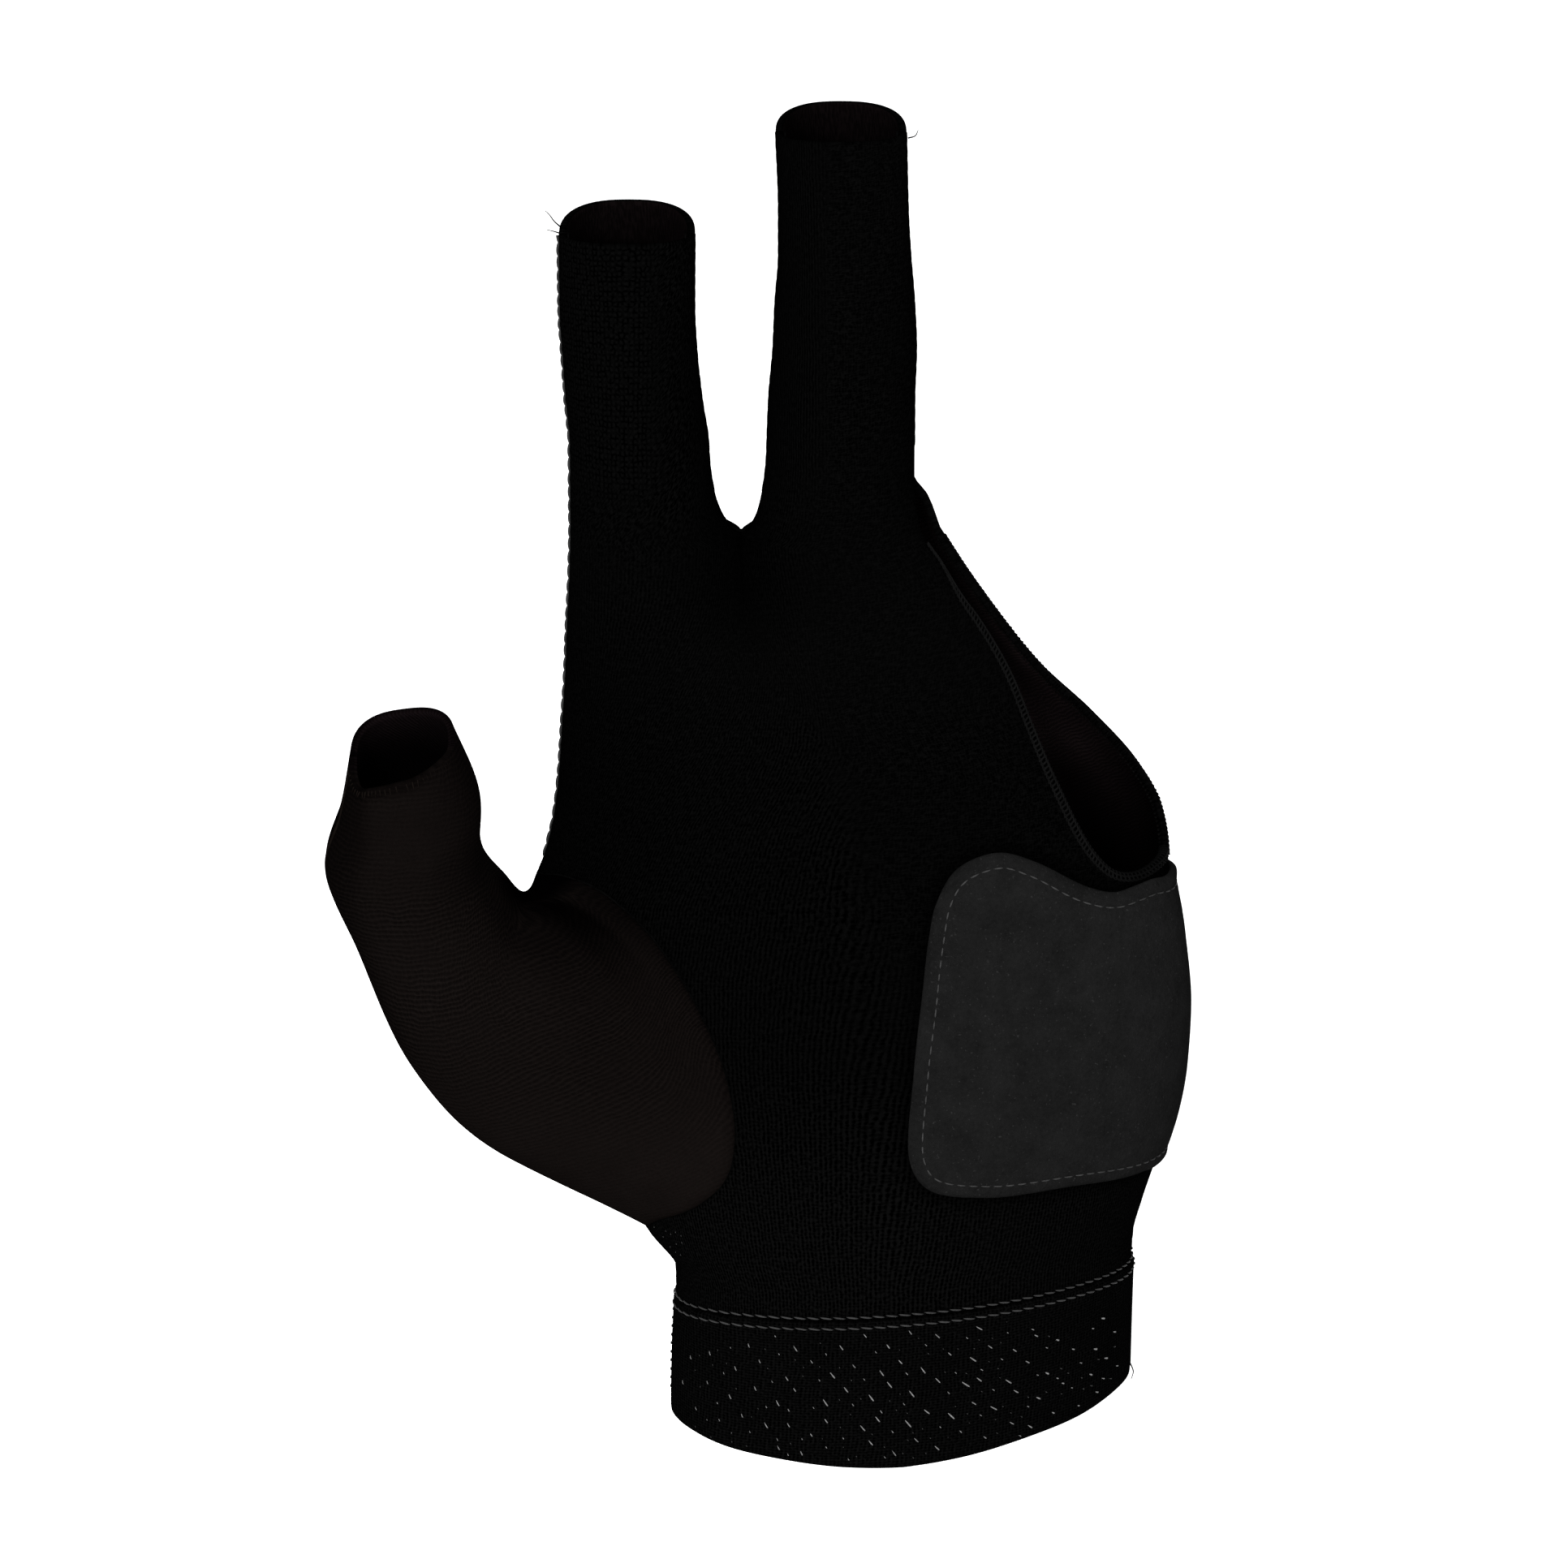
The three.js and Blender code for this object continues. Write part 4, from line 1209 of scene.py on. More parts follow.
def tip_rise(angles):
    """In front, the thumb's open end rises towards the palm."""
    front = np.maximum(np.sin(angles), 0) ** 0.3
    degrees = np.degrees(angles)
    rise = TIP_RISE["height"] * bell(degrees - TIP_RISE["angle"], TIP_RISE["spread"])
    corner = TIP_CORNER["depth"] * bell(degrees - TIP_CORNER["angle"], TIP_CORNER["spread"])
    return (rise - corner) * front


def section_points(angles):
    """Points of every thumb section at the given angles: (section, angle, 3)."""
    rows = []
    for outer_x, outer_z, inner_x, inner_z, y, front, back, lean, power in THUMB_SECTIONS:
        outer = np.array([outer_x, y, outer_z], float)
        inner = np.array([inner_x, y, inner_z], float)
        cosine = np.sign(np.cos(angles)) * np.abs(np.cos(angles)) ** (2 / power)
        sine = np.sign(np.sin(angles)) * np.abs(np.sin(angles)) ** (2 / power)
        across = (outer - inner) / 2 * cosine[:, None]
        depth = sine * np.where(np.sin(angles) > 0, front, back)
        tilt = math.radians(lean)
        forwards = np.array([0, -math.cos(tilt), -math.sin(tilt)]) * depth[:, None]
        rows.append((outer + inner) / 2 + across + forwards)
    rows[-1][:, 2] += tip_rise(angles)
    return np.array(rows)


def fold_height(angles, distance):
    """Roll of cloth beside the web and the valley behind it."""
    folds = [fold["height"] * bell(distance - fold["distance"], fold["width"]) for fold in (ROLL, VALLEY)]
    return bell(np.degrees(angles) - FOLD_ANGLE, FOLD_SPREAD) * sum(folds)


def thumb_grid(columns, rows):
    """Points of the thumb from its seam to its open end, and how far each is from the seam."""
    shares = np.arange(columns) / columns
    angles = 2 * math.pi * shares
    path = np.concatenate([ring_on_hand(shares)[0][None], section_points(angles)])
    grid = catmull(path, np.linspace(0, 1, rows) ** 1.2)
    distance = np.linalg.norm(grid - grid[0], axis=2)
    grid[..., 1] -= fold_height(angles[None], distance)
    return grid, distance


def grid_faces(rows, columns):
    """Triangles of a grid that closes round its columns."""
    number = np.arange(rows * columns).reshape(rows, columns)
    after = np.roll(number, -1, axis=1)
    first = np.stack([number[:-1], after[:-1], after[1:]], axis=-1).reshape(-1, 3)
    second = np.stack([number[:-1], after[1:], number[1:]], axis=-1).reshape(-1, 3)
    return np.concatenate([first, second])


def thumb_shade(grid, distance, to_tip):
    """Painted shade: a dark crease beside the roll and a pocket at the web, and cloth that turns from the
    light.
    """
    angles = 360 * np.arange(THUMB_COLUMNS) / THUMB_COLUMNS
    x = grid[..., 0]
    z = grid[..., 2]
    crease = 0.97 * bell(distance - VALLEY["distance"], 2.2) * bell(angles - FOLD_ANGLE - 12, 28)[None]
    pocket = smooth(angles, 152, 164) * fall(angles, 205, 235)
    corner = 0.97 * pocket[None] * fall(distance, 4.5, 10)
    seam = 0.25 * bell(distance, 1.1)
    by_web = 0.48 * bell(angles - 139, 27)[None] * fall(distance, 11, 21)
    from_outer = np.minimum(angles, 360 - angles)[None]
    side = 0.38 * fall(from_outer, 40, 68) * smooth(z, 74, 90)
    side = side + 0.34 * fall(from_outer, 25, 60) * smooth(z, 54, 66) * fall(z, 74, 90)
    neck = 0.16 * smooth(z, 74, 96)
    by_palm = 0.12 * smooth(x, -54, -42) * smooth(z, 43, 54) + 0.08 * smooth(z, 48, 60)
    by_palm = by_palm + 0.05 * bell(z - 60, 11)
    inner_side = 0.08 * smooth(x, -68.5, -65.0) * smooth(z, 84, 93)
    in_front = smooth(angles, 10, 25) * fall(angles, 95, 135)
    # Painted shade between the gathers at the front of the open end and along its rim
    gathered = 0.42 * bell(to_tip - 0.7, 0.8) * in_front[None] + 0.25 * bell(to_tip, 0.5)
    turned = (1 - side) * (1 - inner_side) * (1 - by_palm) * (1 - gathered) * (1 - neck) * (1 - by_web)
    return np.clip((1 - np.maximum(crease, corner) - seam) * turned, 0, 1)


def thumb_place(grid, distance):
    """Millimetres across and along the ribs, which rise to the right on the ball."""
    x = grid[..., 0]
    z = grid[..., 2]
    slope = lerp(0.06, 0.44, fall(z, 60, 92) * smooth(x, -74, -58))
    rise = lerp(3.0, 10.5, smooth(z, 48, 66))
    along = z - slope * (x + 66) - rise * bell(distance, 6.2)
    steps = np.linalg.norm(np.diff(grid, axis=1, append=grid[:, :1]), axis=2)
    return np.cumsum(steps, axis=1) - steps, along


def make_thumb():
    grid, distance = thumb_grid(THUMB_COLUMNS, THUMB_ROWS)
    faces = grid_faces(THUMB_ROWS, THUMB_COLUMNS)
    points = grid.reshape(-1, 3)
    to_tip = np.linalg.norm(grid - grid[-1], axis=2)
    place = [*thumb_place(grid, distance), thumb_shade(grid, distance, to_tip)]
    cloth = np.stack(place, axis=-1).reshape(-1, 3)
    inside_cloth = cloth.copy()
    # Painted shade inside the thumb: darker deeper in from its open end
    inside_cloth[:, 2] = 1 - 0.78 * smooth(to_tip.ravel(), 1.0, 9.5)
    normals = point_normals(points, faces)
    wall = Cloth(points, faces, normals, cloth, inside=-THUMB_KNIT, inside_cloth=inside_cloth)
    edges = rim_edges(faces)
    angles = 360 * (edges[:, 0] % THUMB_COLUMNS) / THUMB_COLUMNS
    at_tip = edges[:, 0] >= len(points) - THUMB_COLUMNS
    behind = at_tip & ((angles < 12) | (angles > 172))
    wall.slots[2 * len(faces):].reshape(4, len(edges))[:, behind] = 1
    made = wall.make("thumb_sleeve_cloth", [THUMB_CLOTH, THUMB_INSIDE], "thumb_sleeve", "thumb_knit")


# Heel patch

def patch_point(v, z):
    """Place round the outer side of the hand: v 0 to 1 is the palm, 1 to 2 the back."""
    front = region_point(None, -1, np.minimum(v, 1), z)
    back = region_point(None, 1, np.minimum(2 - v, 1), z)
    return np.where((v <= 1)[:, None], front, back)


def patch_outline():
    """Edge of the patch in even steps, as v and z."""
    halves = []
    for side, outline, count in ((-1, PATCH_FRONT, 241), (1, PATCH_BACK, 161)):
        x, z = catmull(np.array(outline, float), np.linspace(0, 1, count)).T
        shown = x < HAND["rightX"](z) - 0.3
        u = u_at(None, side, x[shown], z[shown])
        v = u if side < 0 else 2 - u
        halves.append(np.stack([v, z[shown]], axis=1)[::-side])
    outline = np.concatenate(halves)[::-1]
    scale = np.array([HAND_U, 1.0])
    return resample(looped(outline) * scale, PATCH_OUTLINE_STEP)[:-1] / scale


def patch_height(distance):
    """Rounded edge, a stitched channel beside it, and a slightly raised middle."""
    share = np.clip(distance / PATCH_EDGE["width"], 0, 1)
    edge = PATCH_EDGE["low"] + PATCH_EDGE["rise"] * np.sqrt(1 - (1 - share) ** 2)
    channel = PATCH_CHANNEL["depth"] * bell(distance - PATCH_STITCH_INSET, PATCH_CHANNEL["width"])
    return edge - channel + PATCH_MIDDLE_RISE * smooth(distance, 2.5, 7)


def make_patch():
    outline = patch_outline()
    scale = np.array([HAND_U, 1.0])
    flat, faces = fill(outline * scale, PATCH_STEP)
    v, z = (flat / scale).T
    points = patch_point(v, z)
    distance = distance_to(patch_point(*outline.T), points)
    cloth = np.stack([v * HAND_U, z, distance], axis=1)
    normals = point_normals(points, faces)
    wall = Cloth(points, faces, normals, cloth, patch_height(distance), inside=0.08, bulge=0.1)
    made = wall.make("heel_patch_cloth", [SUEDE, SUEDE_INSIDE], "heel_patch", "suede")


# Cuff

def round_cuff(columns):
    """The front and the back side of the cuff, each with the u of its columns."""
    half = columns // 2
    u = 1 - 2 * np.arange(half) / half
    return [(-1, -u), (1, u)]


def cuff_ring(level):
    """Points round the cuff at a share of its height, and their level normals."""
    rings = []
    for side, u in round_cuff(CUFF_COLUMNS):
        rim = cuff_level(u, CUFF_RIM)
        seam = cuff_level(u, CUFF_SEAM) - GAP / 2
        rings.append(region_point(None, side, u, lerp(rim, seam, level)))
    ring = np.concatenate(rings)
    ahead = np.roll(ring, -1, axis=0) - np.roll(ring, 1, axis=0)
    normals = np.stack([ahead[:, 1], -ahead[:, 0], np.zeros(len(ring))], axis=1)
    return ring, unit(normals)


def cuff_profile():
    """Level and distance outwards of each row, down the outside and up the inside."""
    proud = CUFF_PROUD
    deep = CUFF_PROUD - CUFF_ELASTIC
    return [
        *((level, proud) for level in np.linspace(0.985, 0.05, 30)),
        (0.022, proud - 0.06), (0.006, proud - 0.3), (0.0, proud - 0.75),
        (0.006, deep + 0.4), (0.03, deep + 0.06),
        *((level, deep) for level in np.linspace(0.08, 0.975, 14)),
        (0.995, deep + 0.12), (1.0, deep + 0.5), (1.0, proud - 0.5), (0.997, proud - 0.12),
    ]


def make_cuff():
    rows = []
    places = []
    turn = np.arange(CUFF_COLUMNS) / CUFF_COLUMNS * 2 * math.pi
    for level, out in cuff_profile():
        ring, normals = cuff_ring(level)
        lengths = np.linalg.norm(np.roll(ring, -1, axis=0) - ring, axis=1)
        pucker = CUFF_RIPPLE * np.sin(29 * turn + 1.3 * np.sin(5 * turn)) * smooth(level, 0.6, 1.0)
        wave = CUFF_RIPPLE * np.sin(11 * turn + 3 * level) * fall(level, 0.0, 0.5)
        rows.append(ring + normals * (out + pucker + wave)[:, None])
        places.append(np.stack([np.cumsum(lengths) - lengths, ring[:, 2], np.ones(len(ring))], axis=1))
    faces = grid_faces(len(rows) + 1, CUFF_COLUMNS) % (len(rows) * CUFF_COLUMNS)
    made = make_object(
        "wrist_cuff_cloth", np.concatenate(rows), faces[:, ::-1], [CUFF_CLOTH],
        np.zeros(len(faces), int), np.concatenate(places),
    )
    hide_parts("wrist_cuff")


# Threads

def fine_rim(side, line):
    """Even points along a cloth's edge, the ways out of its face and off its edge, and lengths along."""
    u, z = line.T
    points, normals = fine_line(region_point(None, side, u, z), outward(None, side, u, z), RIM_STEP)
    away = unit(np.cross(np.gradient(points, axis=0), normals)) * side
    return points, normals, away, np.arange(len(points)) * RIM_STEP


def rungs(threads, rim, widths, radius):
    """Threads that go over an edge one beside the other, from face to face of the knit."""
    points, normals, away, _ = rim
    half = KNIT / 2
    over = [1.0, 0.8, 0.45, 0.1, 0]
    above = [half - 0.05, half + 0.1, half + 0.14, half + 0.1, half * 0.6]
    insets = np.array([*over, 0, *reversed(over)])
    depths = np.array([*above, 0, *(-depth for depth in reversed(above))])
    reach = np.array([0, 0, 0, 0, 0.8, 1.0, 0.8, 0, 0, 0, 0])
    last = len(points) - 1
    places = np.arange(0.3, last * RIM_STEP - 0.3, EDGING_PITCH)
    near = np.clip((places / RIM_STEP).astype(int), 0, last)
    width = widths[near] * (1 + 0.10 * np.sin(np.arange(len(places)) * 2.4))
    shift = np.clip(((places[:, None] + EDGING_SLANT * insets) / RIM_STEP).astype(int), 0, last)
    inset = width[:, None] * insets - (EDGING_REACH + radius) * reach
    out = normals[shift]
    paths = points[shift] - out * half - away[shift] * inset[..., None] + out * depths[:, None]
    ups = unit(out * (np.sign(depths) * (1 - reach))[:, None] + away[shift] * reach[:, None])
    threads.add(paths, ups, radius, radius * 0.85, sides=5)


def braid(threads, rim, insets, lift, sway):
    """Two threads twisted round each other, a little way in from an edge."""
    points, normals, away, along = rim
    turn = along / EDGING_PITCH * math.pi
    for phase in (0, math.pi):
        sideways = sway * np.sin(turn + phase)
        raised = lift + 0.8 * sway * np.cos(turn + phase)
        path = points - away * (insets + sideways)[:, None] + normals * raised[:, None]
        threads.add(path[None, ::2], normals[None, ::2], BRAID_RADIUS, BRAID_RADIUS, sides=5)


def edge_cord(threads, rim, inset, depth, radius):
    """Thread that runs along an edge in small waves."""
    points, normals, away, along = rim
    wave = 0.05 * np.sin(along / EDGING_PITCH * 2 * math.pi)
    path = points - away * (inset + wave)[:, None] + normals * depth
    threads.add(path[None, ::2], normals[None, ::2], radius, radius, sides=5)


def make_edging():
    """Edging of the palm beside the bare side of the hand. It narrows at both of its ends."""
    threads = Threads()
    edge = palm_edge_line()
    rim = fine_rim(-1, edge[edge[:, 1] < WEB_HEIGHT])
    along = rim[3]
    widths = EDGING_WIDTH * lerp(0.2, 1, smooth(along, 2, 14)) * lerp(1, 0.72, smooth(along, 44, 58))
    rungs(threads, rim, widths, radius=0.17)
    braid(threads, rim, widths * 0.9, lift=0.12, sway=0.12)
    edge_cord(threads, rim, inset=0.02, depth=0.10, radius=0.13)
    edge_cord(threads, rim, inset=-0.24, depth=-KNIT / 2, radius=0.12)
    threads.make("opening_edging", EDGING_THREAD, "palm_knit")


def make_back_edging():
    """Edging of the back beside the bare side of the hand. It narrows towards the fingers."""
    threads = Threads()
    heights = np.linspace(BACK_EDGE_FOOT, WEB_HEIGHT - 0.6, 240)
    rim = fine_rim(1, np.stack([np.ones(len(heights)), heights], axis=1))
    widths = 1.1 * lerp(1, 0.3, smooth(rim[3], 36, 50))
    rungs(threads, rim, widths, radius=0.18)
    braid(threads, rim, widths * 0.93, lift=0.10, sway=0.10)
    edge_cord(threads, rim, inset=-0.24, depth=-KNIT / 2, radius=0.13)
    threads.make("back_edging", BACK_EDGING_THREAD, "back_knit")


def side_line(region, left, low, high, count=80):
    """A side seam from one height to another, and the way straight out of it."""
    outwards = -1.0 if left else 1.0
    by_web = (region is INDEX and not left) or (region is MIDDLE and left)
    u = np.full(count, 0.0 if by_web else outwards)
    points = region_point(region, -1, u, np.linspace(low, high, count))
    return points, np.tile([outwards, 0.0, 0.0], (count, 1))


# Side seams: region, whether on its left, from and to which height, and points where not 80
LEFT_SEAM = (None, True, 85.5, WEB_HEIGHT - 0.1)
LOW_LEFT_SEAM = (None, True, 21.2, 30.2, 30)
INNER_SEAMS = [
    (INDEX, False, WEB_HEIGHT + 6, INDEX_TIP - 0.1),
    (MIDDLE, True, WEB_HEIGHT + 6, MIDDLE_TIP - 0.1),
    (MIDDLE, False, 147, MIDDLE_TIP - 0.1),
    (None, False, 20.8, 37.4),
]


def lobes(threads, points, out, proud, radius, sway):
    """Seam thread that loops out between the two cloths at even steps."""
    points, out = fine_line(points, out, LOBE_STEP)
    along = np.arange(len(points)) * LOBE_STEP
    turn = along / LOBE_PITCH * 2 * math.pi + 0.5 * np.sin(along * 0.37)
    across = np.cross(unit(np.gradient(points, axis=0)), out)
    bulge = proud * np.abs(np.sin(turn / 2)) ** 0.55 - 0.10
    path = points + out * bulge[:, None] + across * (sway * np.sin(turn / 2))[:, None]
    threads.add(path[None], out[None], radius, radius)
    second = points + out * (bulge * 0.6)[:, None] - across * (sway * np.sin(turn / 2 + 0.6))[:, None]
    threads.add(second[None], out[None], radius * 0.8, radius * 0.8)


def make_side_seams():
    """The pale seam up the thumb's side of the hand and of the index finger."""
    threads = Threads()
    lines = zip(side_line(*LEFT_SEAM), side_line(INDEX, True, WEB_HEIGHT, INDEX_TIP - 0.4))
    points, out = (np.concatenate(both) for both in lines)
    lobes(threads, points, out, proud=0.30, radius=0.21, sway=0.24)
    threads.make("radial_seam", SEAM_THREAD, "palm_knit")


def make_dark_seams():
    """Seams that hardly show: between the fingers, down the outer side and round the thumb."""
    threads = Threads()
    for line in [*INNER_SEAMS, LOW_LEFT_SEAM]:
        lobes(threads, *side_line(*line), proud=0.06, radius=0.16, sway=0.12)
    ring, side, u = ring_on_hand(np.linspace(0, 1, 260) % 1)
    front = outward(None, -1, u, ring[:, 2])
    back = outward(None, 1, u, ring[:, 2])
    normals = np.where((side < 0)[:, None], front, back)
    lobes(threads, ring - normals * 0.3, normals, proud=0.06, radius=0.2, sway=0.08)
    threads.make("inner_seams", DARK_THREAD, "palm_knit")


def make_tapes():
    """Seam allowances: flat bands on the inside, behind the gaps between two cloths."""
    threads = Threads()
    others = [LEFT_SEAM, (INDEX, True, WEB_HEIGHT, INDEX_TIP - 0.1, 60), (None, True, 20.6, 30.6, 20)]
    for line in INNER_SEAMS + others:
        points, out = fine_line(*side_line(*line), TAPE_STEP)
        path = points - out * (KNIT + TAPE_GAP)
        threads.add(path[None], out[None], TAPE_WIDTH / 2, TAPE_THICKNESS / 2, sides=8)
    threads.make("seam_allowances", DARK_THREAD, "palm_knit")


def dashes(threads, points, normals, pitch, length, width, lift, slant=0.0, start=0.0):
    """Separate stitches along a line. Each is thick in the middle and dips at its ends."""
    points, normals = fine_line(points, normals, RIM_STEP)
    last = len(points) - 1
    count = int((last * RIM_STEP - start) / pitch)
    centres = start + (np.arange(count) + 0.5) * pitch
    offsets = np.linspace(-0.5, 0.5, 7)
    places = centres[:, None] + offsets[None] * length
    near = np.clip((places / RIM_STEP).astype(int), 0, last)
    paths = points[near]
    ups = normals[near]
    across = np.cross(unit(np.gradient(paths, axis=1)), ups)
    rise = lift - 0.9 * lift * (2 * offsets) ** 4
    paths = paths + ups * rise[:, None] + across * (offsets * slant)[:, None]
    profile = np.sqrt(np.maximum(1 - (2 * offsets) ** 2, 0.04))
    threads.add(paths, ups, width / 2 * profile, width / 2.4 * profile)


def make_patch_stitches():
    threads = Threads()
    v, z = patch_outline().T
    step = 0.01
    rise = 0.3
    edge = patch_point(v, z)
    ahead = np.roll(edge, -1, axis=0) - np.roll(edge, 1, axis=0)
    across = patch_point(v + step, z) - patch_point(v - step, z)
    up = patch_point(v, z + rise) - patch_point(v, z - rise)
    normals = unit(np.cross(across, up))
    inward = unit(np.cross(normals, ahead))
    v_per_mm = step * 2 / np.linalg.norm(across, axis=1)
    inset_v = v + PATCH_STITCH_INSET * v_per_mm * np.sum(inward * unit(across), axis=1)
    inset_z = z + PATCH_STITCH_INSET * np.sum(inward * unit(up), axis=1)
    line = patch_point(inset_v, inset_z) + normals * patch_height(PATCH_STITCH_INSET)
    size = {"length": 1.42, "width": 0.26, "lift": 0.14}
    dashes(threads, looped(line), looped(normals), PATCH_STITCH_PITCH, **size)
    threads.make("patch_stitches", PATCH_THREAD, "suede")


def make_cuff_stitches():
    threads = Threads()
    size = {"length": 1.75, "width": 0.29, "lift": 0.18}
    for row, height in enumerate(CUFF_STITCH_HEIGHTS):
        proud = 0.02 if height > 0 else CUFF_PROUD + 0.02
        rings = []
        normals = []
        for side, u in round_cuff(400):
            z = cuff_level(u, CUFF_SEAM) + height
            normals.append(outward(None, side, u, z))
            rings.append(region_point(None, side, u, z) + normals[-1] * proud)
        ring, normal = (looped(np.concatenate(halves)) for halves in (rings, normals))
        dashes(threads, ring, normal, CUFF_STITCH_PITCH, **size, slant=0.26, start=row * 0.8)
    threads.make("cuff_stitches", STITCH_THREAD, "cuff_elastic")


def fleck_places(random):
    """Lattice of large flecks with small ones strewn between: x, z, and size from 0 to 1."""
    large = []
    small = []
    for row in range(-1, 6):
        for column in range(-6, 8):
            x = FLECK_FIRST[0] + column * FLECK_ACROSS[0] + row * FLECK_DOWN[0]
            z = FLECK_FIRST[1] + column * FLECK_ACROSS[1] + row * FLECK_DOWN[1]
            large += [(x + right, z + up, size) for right, up, size in LARGE_FLECKS]
            small += [(x + right, z + up, size) for right, up, size in SMALL_FLECKS]
    large = np.array(large)
    small = np.array(small)
    large[:, :2] += random.normal(0, 0.38, (len(large), 2))
    small[:, :2] += random.normal(0, 0.42, (len(small), 2))
    apart = np.linalg.norm(small[:, None, :2] - large[None, :, :2], axis=2).min(axis=1)
    flecks = np.concatenate([large, small[apart > FLECK_CLEAR]])
    flecks[:, 2] *= random.uniform(0.7, 1.15, len(flecks))
    return flecks


def speck_places(random, flecks):
    """Specks of rubber deep between the loops, clear of the flecks. Their darker thread is painted shade.
    """
    x = random.uniform(-33, 33, SPECK_COUNT)
    z = random.uniform(-1, 20, SPECK_COUNT)
    kept = flecks
    for speck in np.column_stack([x, z, np.zeros(SPECK_COUNT)]):
        if np.linalg.norm(kept[:, :2] - speck[:2], axis=1).min() > FLECK_CLEAR:
            kept = np.concatenate([kept, speck[None]])
    return kept[len(flecks):]


def add_flecks(threads, random, flecks, side, proud):
    """Short slanting tubes: long in the middle of the cuff and nearly round at its right."""
    x, z, size = flecks.T
    middle = bell(x - 2, 22) * bell(z - 10, 10)
    length = 0.30 + 1.70 * size * (0.25 + 0.75 * middle) * random.uniform(0.8, 1.15, len(x))
    width = 0.05 + 0.065 * size * (0.3 + 0.7 * middle)
    round_ones = smooth(x, 14, 24)
    length = lerp(length, 0.45 + 0.25 * size, round_ones)
    width = lerp(width, 0.07 + 0.08 * size, round_ones)
    slope = np.radians(np.interp(x, *zip(*FLECK_SLOPES)) + random.normal(0, 3, len(x)))
    steps = np.linspace(-0.5, 0.5, len(FLECK_BOW))
    xs = (x[:, None] + length[:, None] * steps * np.cos(slope)[:, None]).ravel()
    zs = (z[:, None] - length[:, None] * steps * np.sin(slope)[:, None]).ravel()
    us = u_at(None, side, xs, zs)
    normals = outward(None, side, us, zs)
    points = region_point(None, side, us, zs) + normals * proud
    points, normals = (each.reshape(len(x), len(steps), 3) for each in (points, normals))
    widths = width[:, None] * np.array(FLECK_TAPER)
    threads.add(points + normals * np.array(FLECK_BOW)[:, None], normals, widths, widths * 0.6)


def within_cuff(flecks, side):
    """True for flecks that lie clear of the cuff's edges and sides."""
    x, z, size = flecks.T
    u = u_at(None, side, x, z)
    low = cuff_level(u, CUFF_RIM) + 0.7 + 0.5 * size
    high = cuff_level(u, CUFF_SEAM) - 2.0 - 3.5 * smooth(np.abs(x + 2), 14, 28)
    return (z > low) & (z < high) & (np.abs(x) < 31.8)


def make_flecks():
    """Short ends of pale rubber thread that show between the cuff's loops."""
    random = np.random.default_rng(7)
    threads = Threads()
    faint = Threads()
    for side in (-1, 1):
        flecks = fleck_places(random)
        specks = speck_places(random, flecks)
        for made, places in ((threads, flecks), (faint, specks)):
            add_flecks(made, random, places[within_cuff(places, side)], side, CUFF_PROUD)
    on_palm = np.column_stack([PALM_FLECKS, np.full(len(PALM_FLECKS), 0.1)])
    add_flecks(faint, random, on_palm, -1, 0.0)
    threads.make("elastic_flecks", RUBBER_THREAD, "cuff_elastic")
    faint.make("elastic_specks", FAINT_THREAD, "cuff_elastic")


def make_thumb_gathers():
    """Short threads that draw the front of the thumb's open end together."""
    random = np.random.default_rng(11)
    threads = Threads()
    columns = 74
    grid = thumb_grid(columns, THREAD_ROWS)[0]
    tip = grid[-1]
    down = unit(grid[-4] - tip)[:, None]
    around = unit(np.roll(tip, -1, axis=0) - np.roll(tip, 1, axis=0))[:, None]
    normals = unit(np.cross(around, -down))
    angles = 360 * np.arange(columns) / columns
    front = (angles > 12) & (angles < 150)
    fading = 1 - 0.75 * smooth(angles, 70, 130)
    slant = np.interp(angles, [0, 60, 120, 180], [-0.5, -0.1, 0.3, 0.5]) + random.normal(0, 0.12, columns)
    length = random.uniform(0.75, 1.15, columns)
    offsets = np.array([0.0, 0.15, 0.5, 0.95, 1.4]) * length[:, None]
    lifts = np.array([-0.12, 0.0, 0.04, 0.02, -0.05])
    paths = tip[:, None] + down * offsets[..., None] + normals * lifts[:, None]
    paths = paths + around * (offsets * slant[:, None])[..., None]
    widths = np.array([0.06, 0.12, 0.13, 0.10, 0.03]) * fading[:, None]
    threads.add(paths[front], normals[front], widths[front], widths[front] * 0.8, sides=5)
    threads.make("thumb_gathers", GATHER_THREAD, "thumb_knit")


def make_thumb_seam():
    """Seam down the outer side of the thumb, pressed flat."""
    threads = Threads()
    grid = thumb_grid(60, THREAD_ROWS)[0][52:-2]
    line = grid[:, 1]
    around = unit(grid[:, 2] - grid[:, 0])
    normals = unit(np.cross(around, unit(np.gradient(line, axis=0))))
    for sideways in (-0.22, 0.22):
        path = line + around * sideways + normals * 0.02
        threads.add(path[None], normals[None], 0.16, 0.10)
    threads.make("thumb_side_seam", GATHER_THREAD, "thumb_knit")


def make_cuff_side():
    """Stitches down the cuff's left side, and the thread that closes its right side."""
    threads = Threads()
    for turned, low, proud in ((1.0, 2.8, 0.03), (-1.0, 3.4, 0.01)):
        heights = np.linspace(19.6, low, 90)
        u = np.full(90, turned * 0.985)
        normals = outward(None, -1, u, heights)
        path = region_point(None, -1, u, heights) + normals * (CUFF_PROUD + proud)
        if turned > 0:
            threads.add(path[None], normals[None], 0.12, 0.10)
        else:
            dashes(threads, path, normals, pitch=1.35, length=0.5, width=0.26, lift=0.08)
    threads.make("cuff_side_seams", STITCH_THREAD, "cuff_elastic")


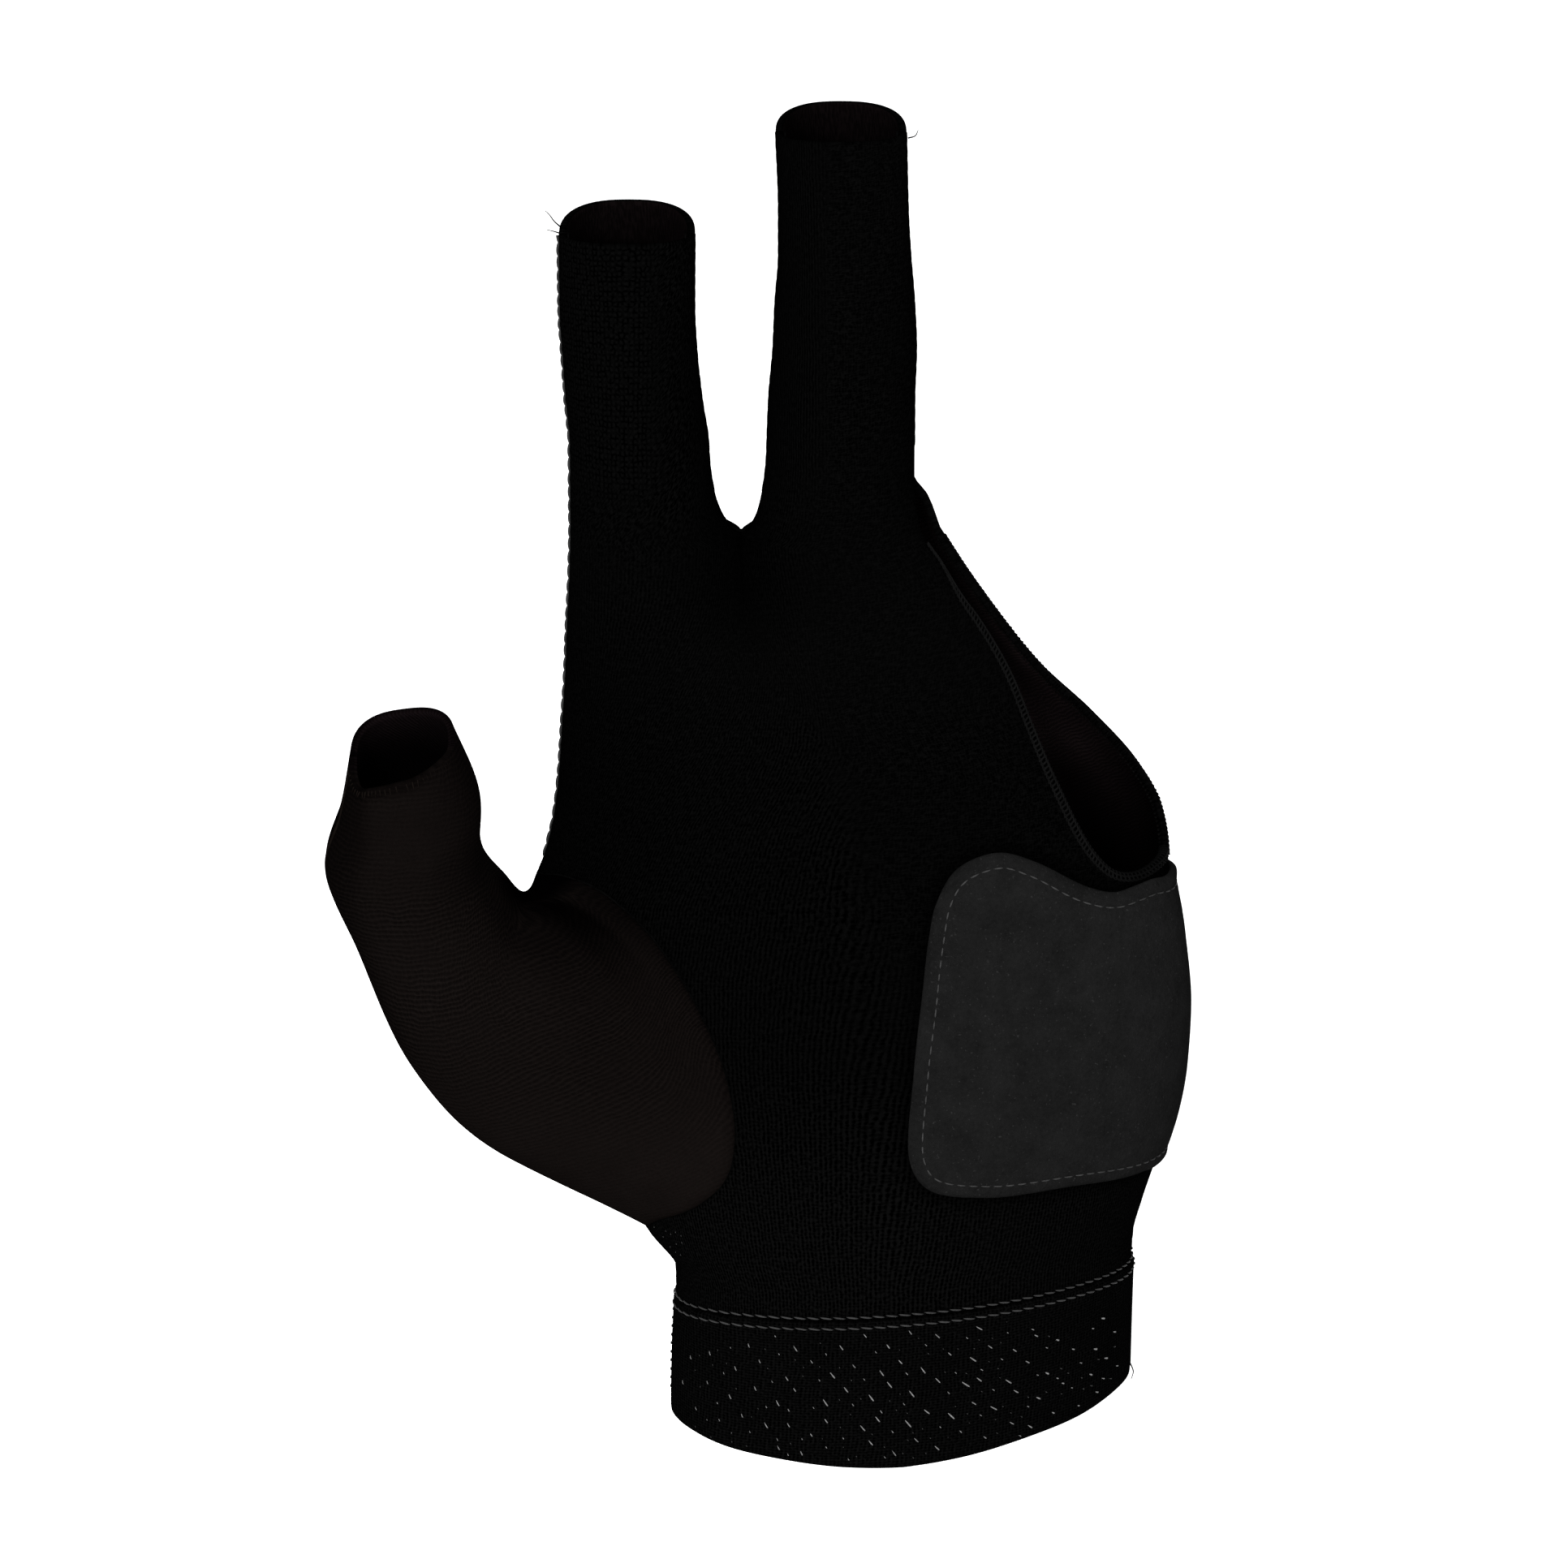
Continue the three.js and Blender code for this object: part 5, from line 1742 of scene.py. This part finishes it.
def make_tails():
    """Loose ends of the seam threads."""
    threads = Threads()
    steps = 12
    taper = np.linspace(0.12, 0.05, steps)
    for tail in TAILS:
        path = catmull(tail, np.linspace(0, 1, steps))
        threads.add(path[None], np.array([0.0, -1.0, 0.0]), taper, taper)
    threads.make("thread_tails", DARK_THREAD, "palm_knit")


# Studio

def make_floor():
    reach = 4.0
    height = -0.055
    mesh = bpy.data.meshes.new("floor")
    corners = [(x * reach, y * reach, height) for x, y in ((-1, -1), (1, -1), (1, 1), (-1, 1))]
    mesh.from_pydata(corners, [], [(0, 1, 2, 3)])
    floor = bpy.data.objects.new("floor", mesh)
    bpy.context.scene.collection.objects.link(floor)
    recipe = Recipe("floor", 1.0)
    recipe.shade(Base_Color=recipe.mix(recipe.noise(recipe.place, 0.002), grey(0.94), grey(0.96)))
    mesh.materials.append(recipe.material)


def place_studio_object(name, data, place, ahead):
    made = bpy.data.objects.new(name, data)
    made.location = place
    made.rotation_mode = "QUATERNION"
    made.rotation_quaternion = ahead.to_track_quat("-Z", "Y")
    bpy.context.scene.collection.objects.link(made)
    return made


def light_scene():
    scene = bpy.context.scene
    world = bpy.data.worlds.new("studio")
    world.use_nodes = True
    background = world.node_tree.nodes["Background"]
    background.inputs["Color"].default_value = (1, 1, 1, 1)
    background.inputs["Strength"].default_value = BACKGROUND_STRENGTH
    scene.world = world
    for name, place, size, power in LIGHTS:
        data = bpy.data.lights.new(name, "AREA")
        data.shape = "DISK"
        data.size = size
        data.energy = power
        place_studio_object(name, data, place, Vector(LIGHT_TARGET) - Vector(place))
    scene.view_settings.view_transform = "Standard"
    scene.view_settings.look = "None"


def make_camera():
    tilt = math.radians(CAMERA_ELEVATION)
    back = Vector((0, -math.cos(tilt), math.sin(tilt))) * CAMERA_DISTANCE * MM
    data = bpy.data.cameras.new("camera")
    data.sensor_width = CAMERA_SENSOR
    data.lens = CAMERA_LENS
    data.clip_start = 0.05
    data.clip_end = 20
    camera = place_studio_object("camera", data, Vector(CAMERA_TARGET) * MM + back, -back)
    bpy.context.scene.camera = camera


make_camera()
light_scene()
make_floor()
make_hand_side(-1, "palm_panel", PALM_CLOTH, "palm_knit")
make_hand_side(1, "back_panel", BACK_CLOTH, "back_knit")
make_thumb()
make_patch()
make_cuff()
make_edging()
make_back_edging()
make_side_seams()
make_dark_seams()
make_tapes()
make_patch_stitches()
make_cuff_stitches()
make_flecks()
make_thumb_gathers()
make_thumb_seam()
make_cuff_side()
make_tails()
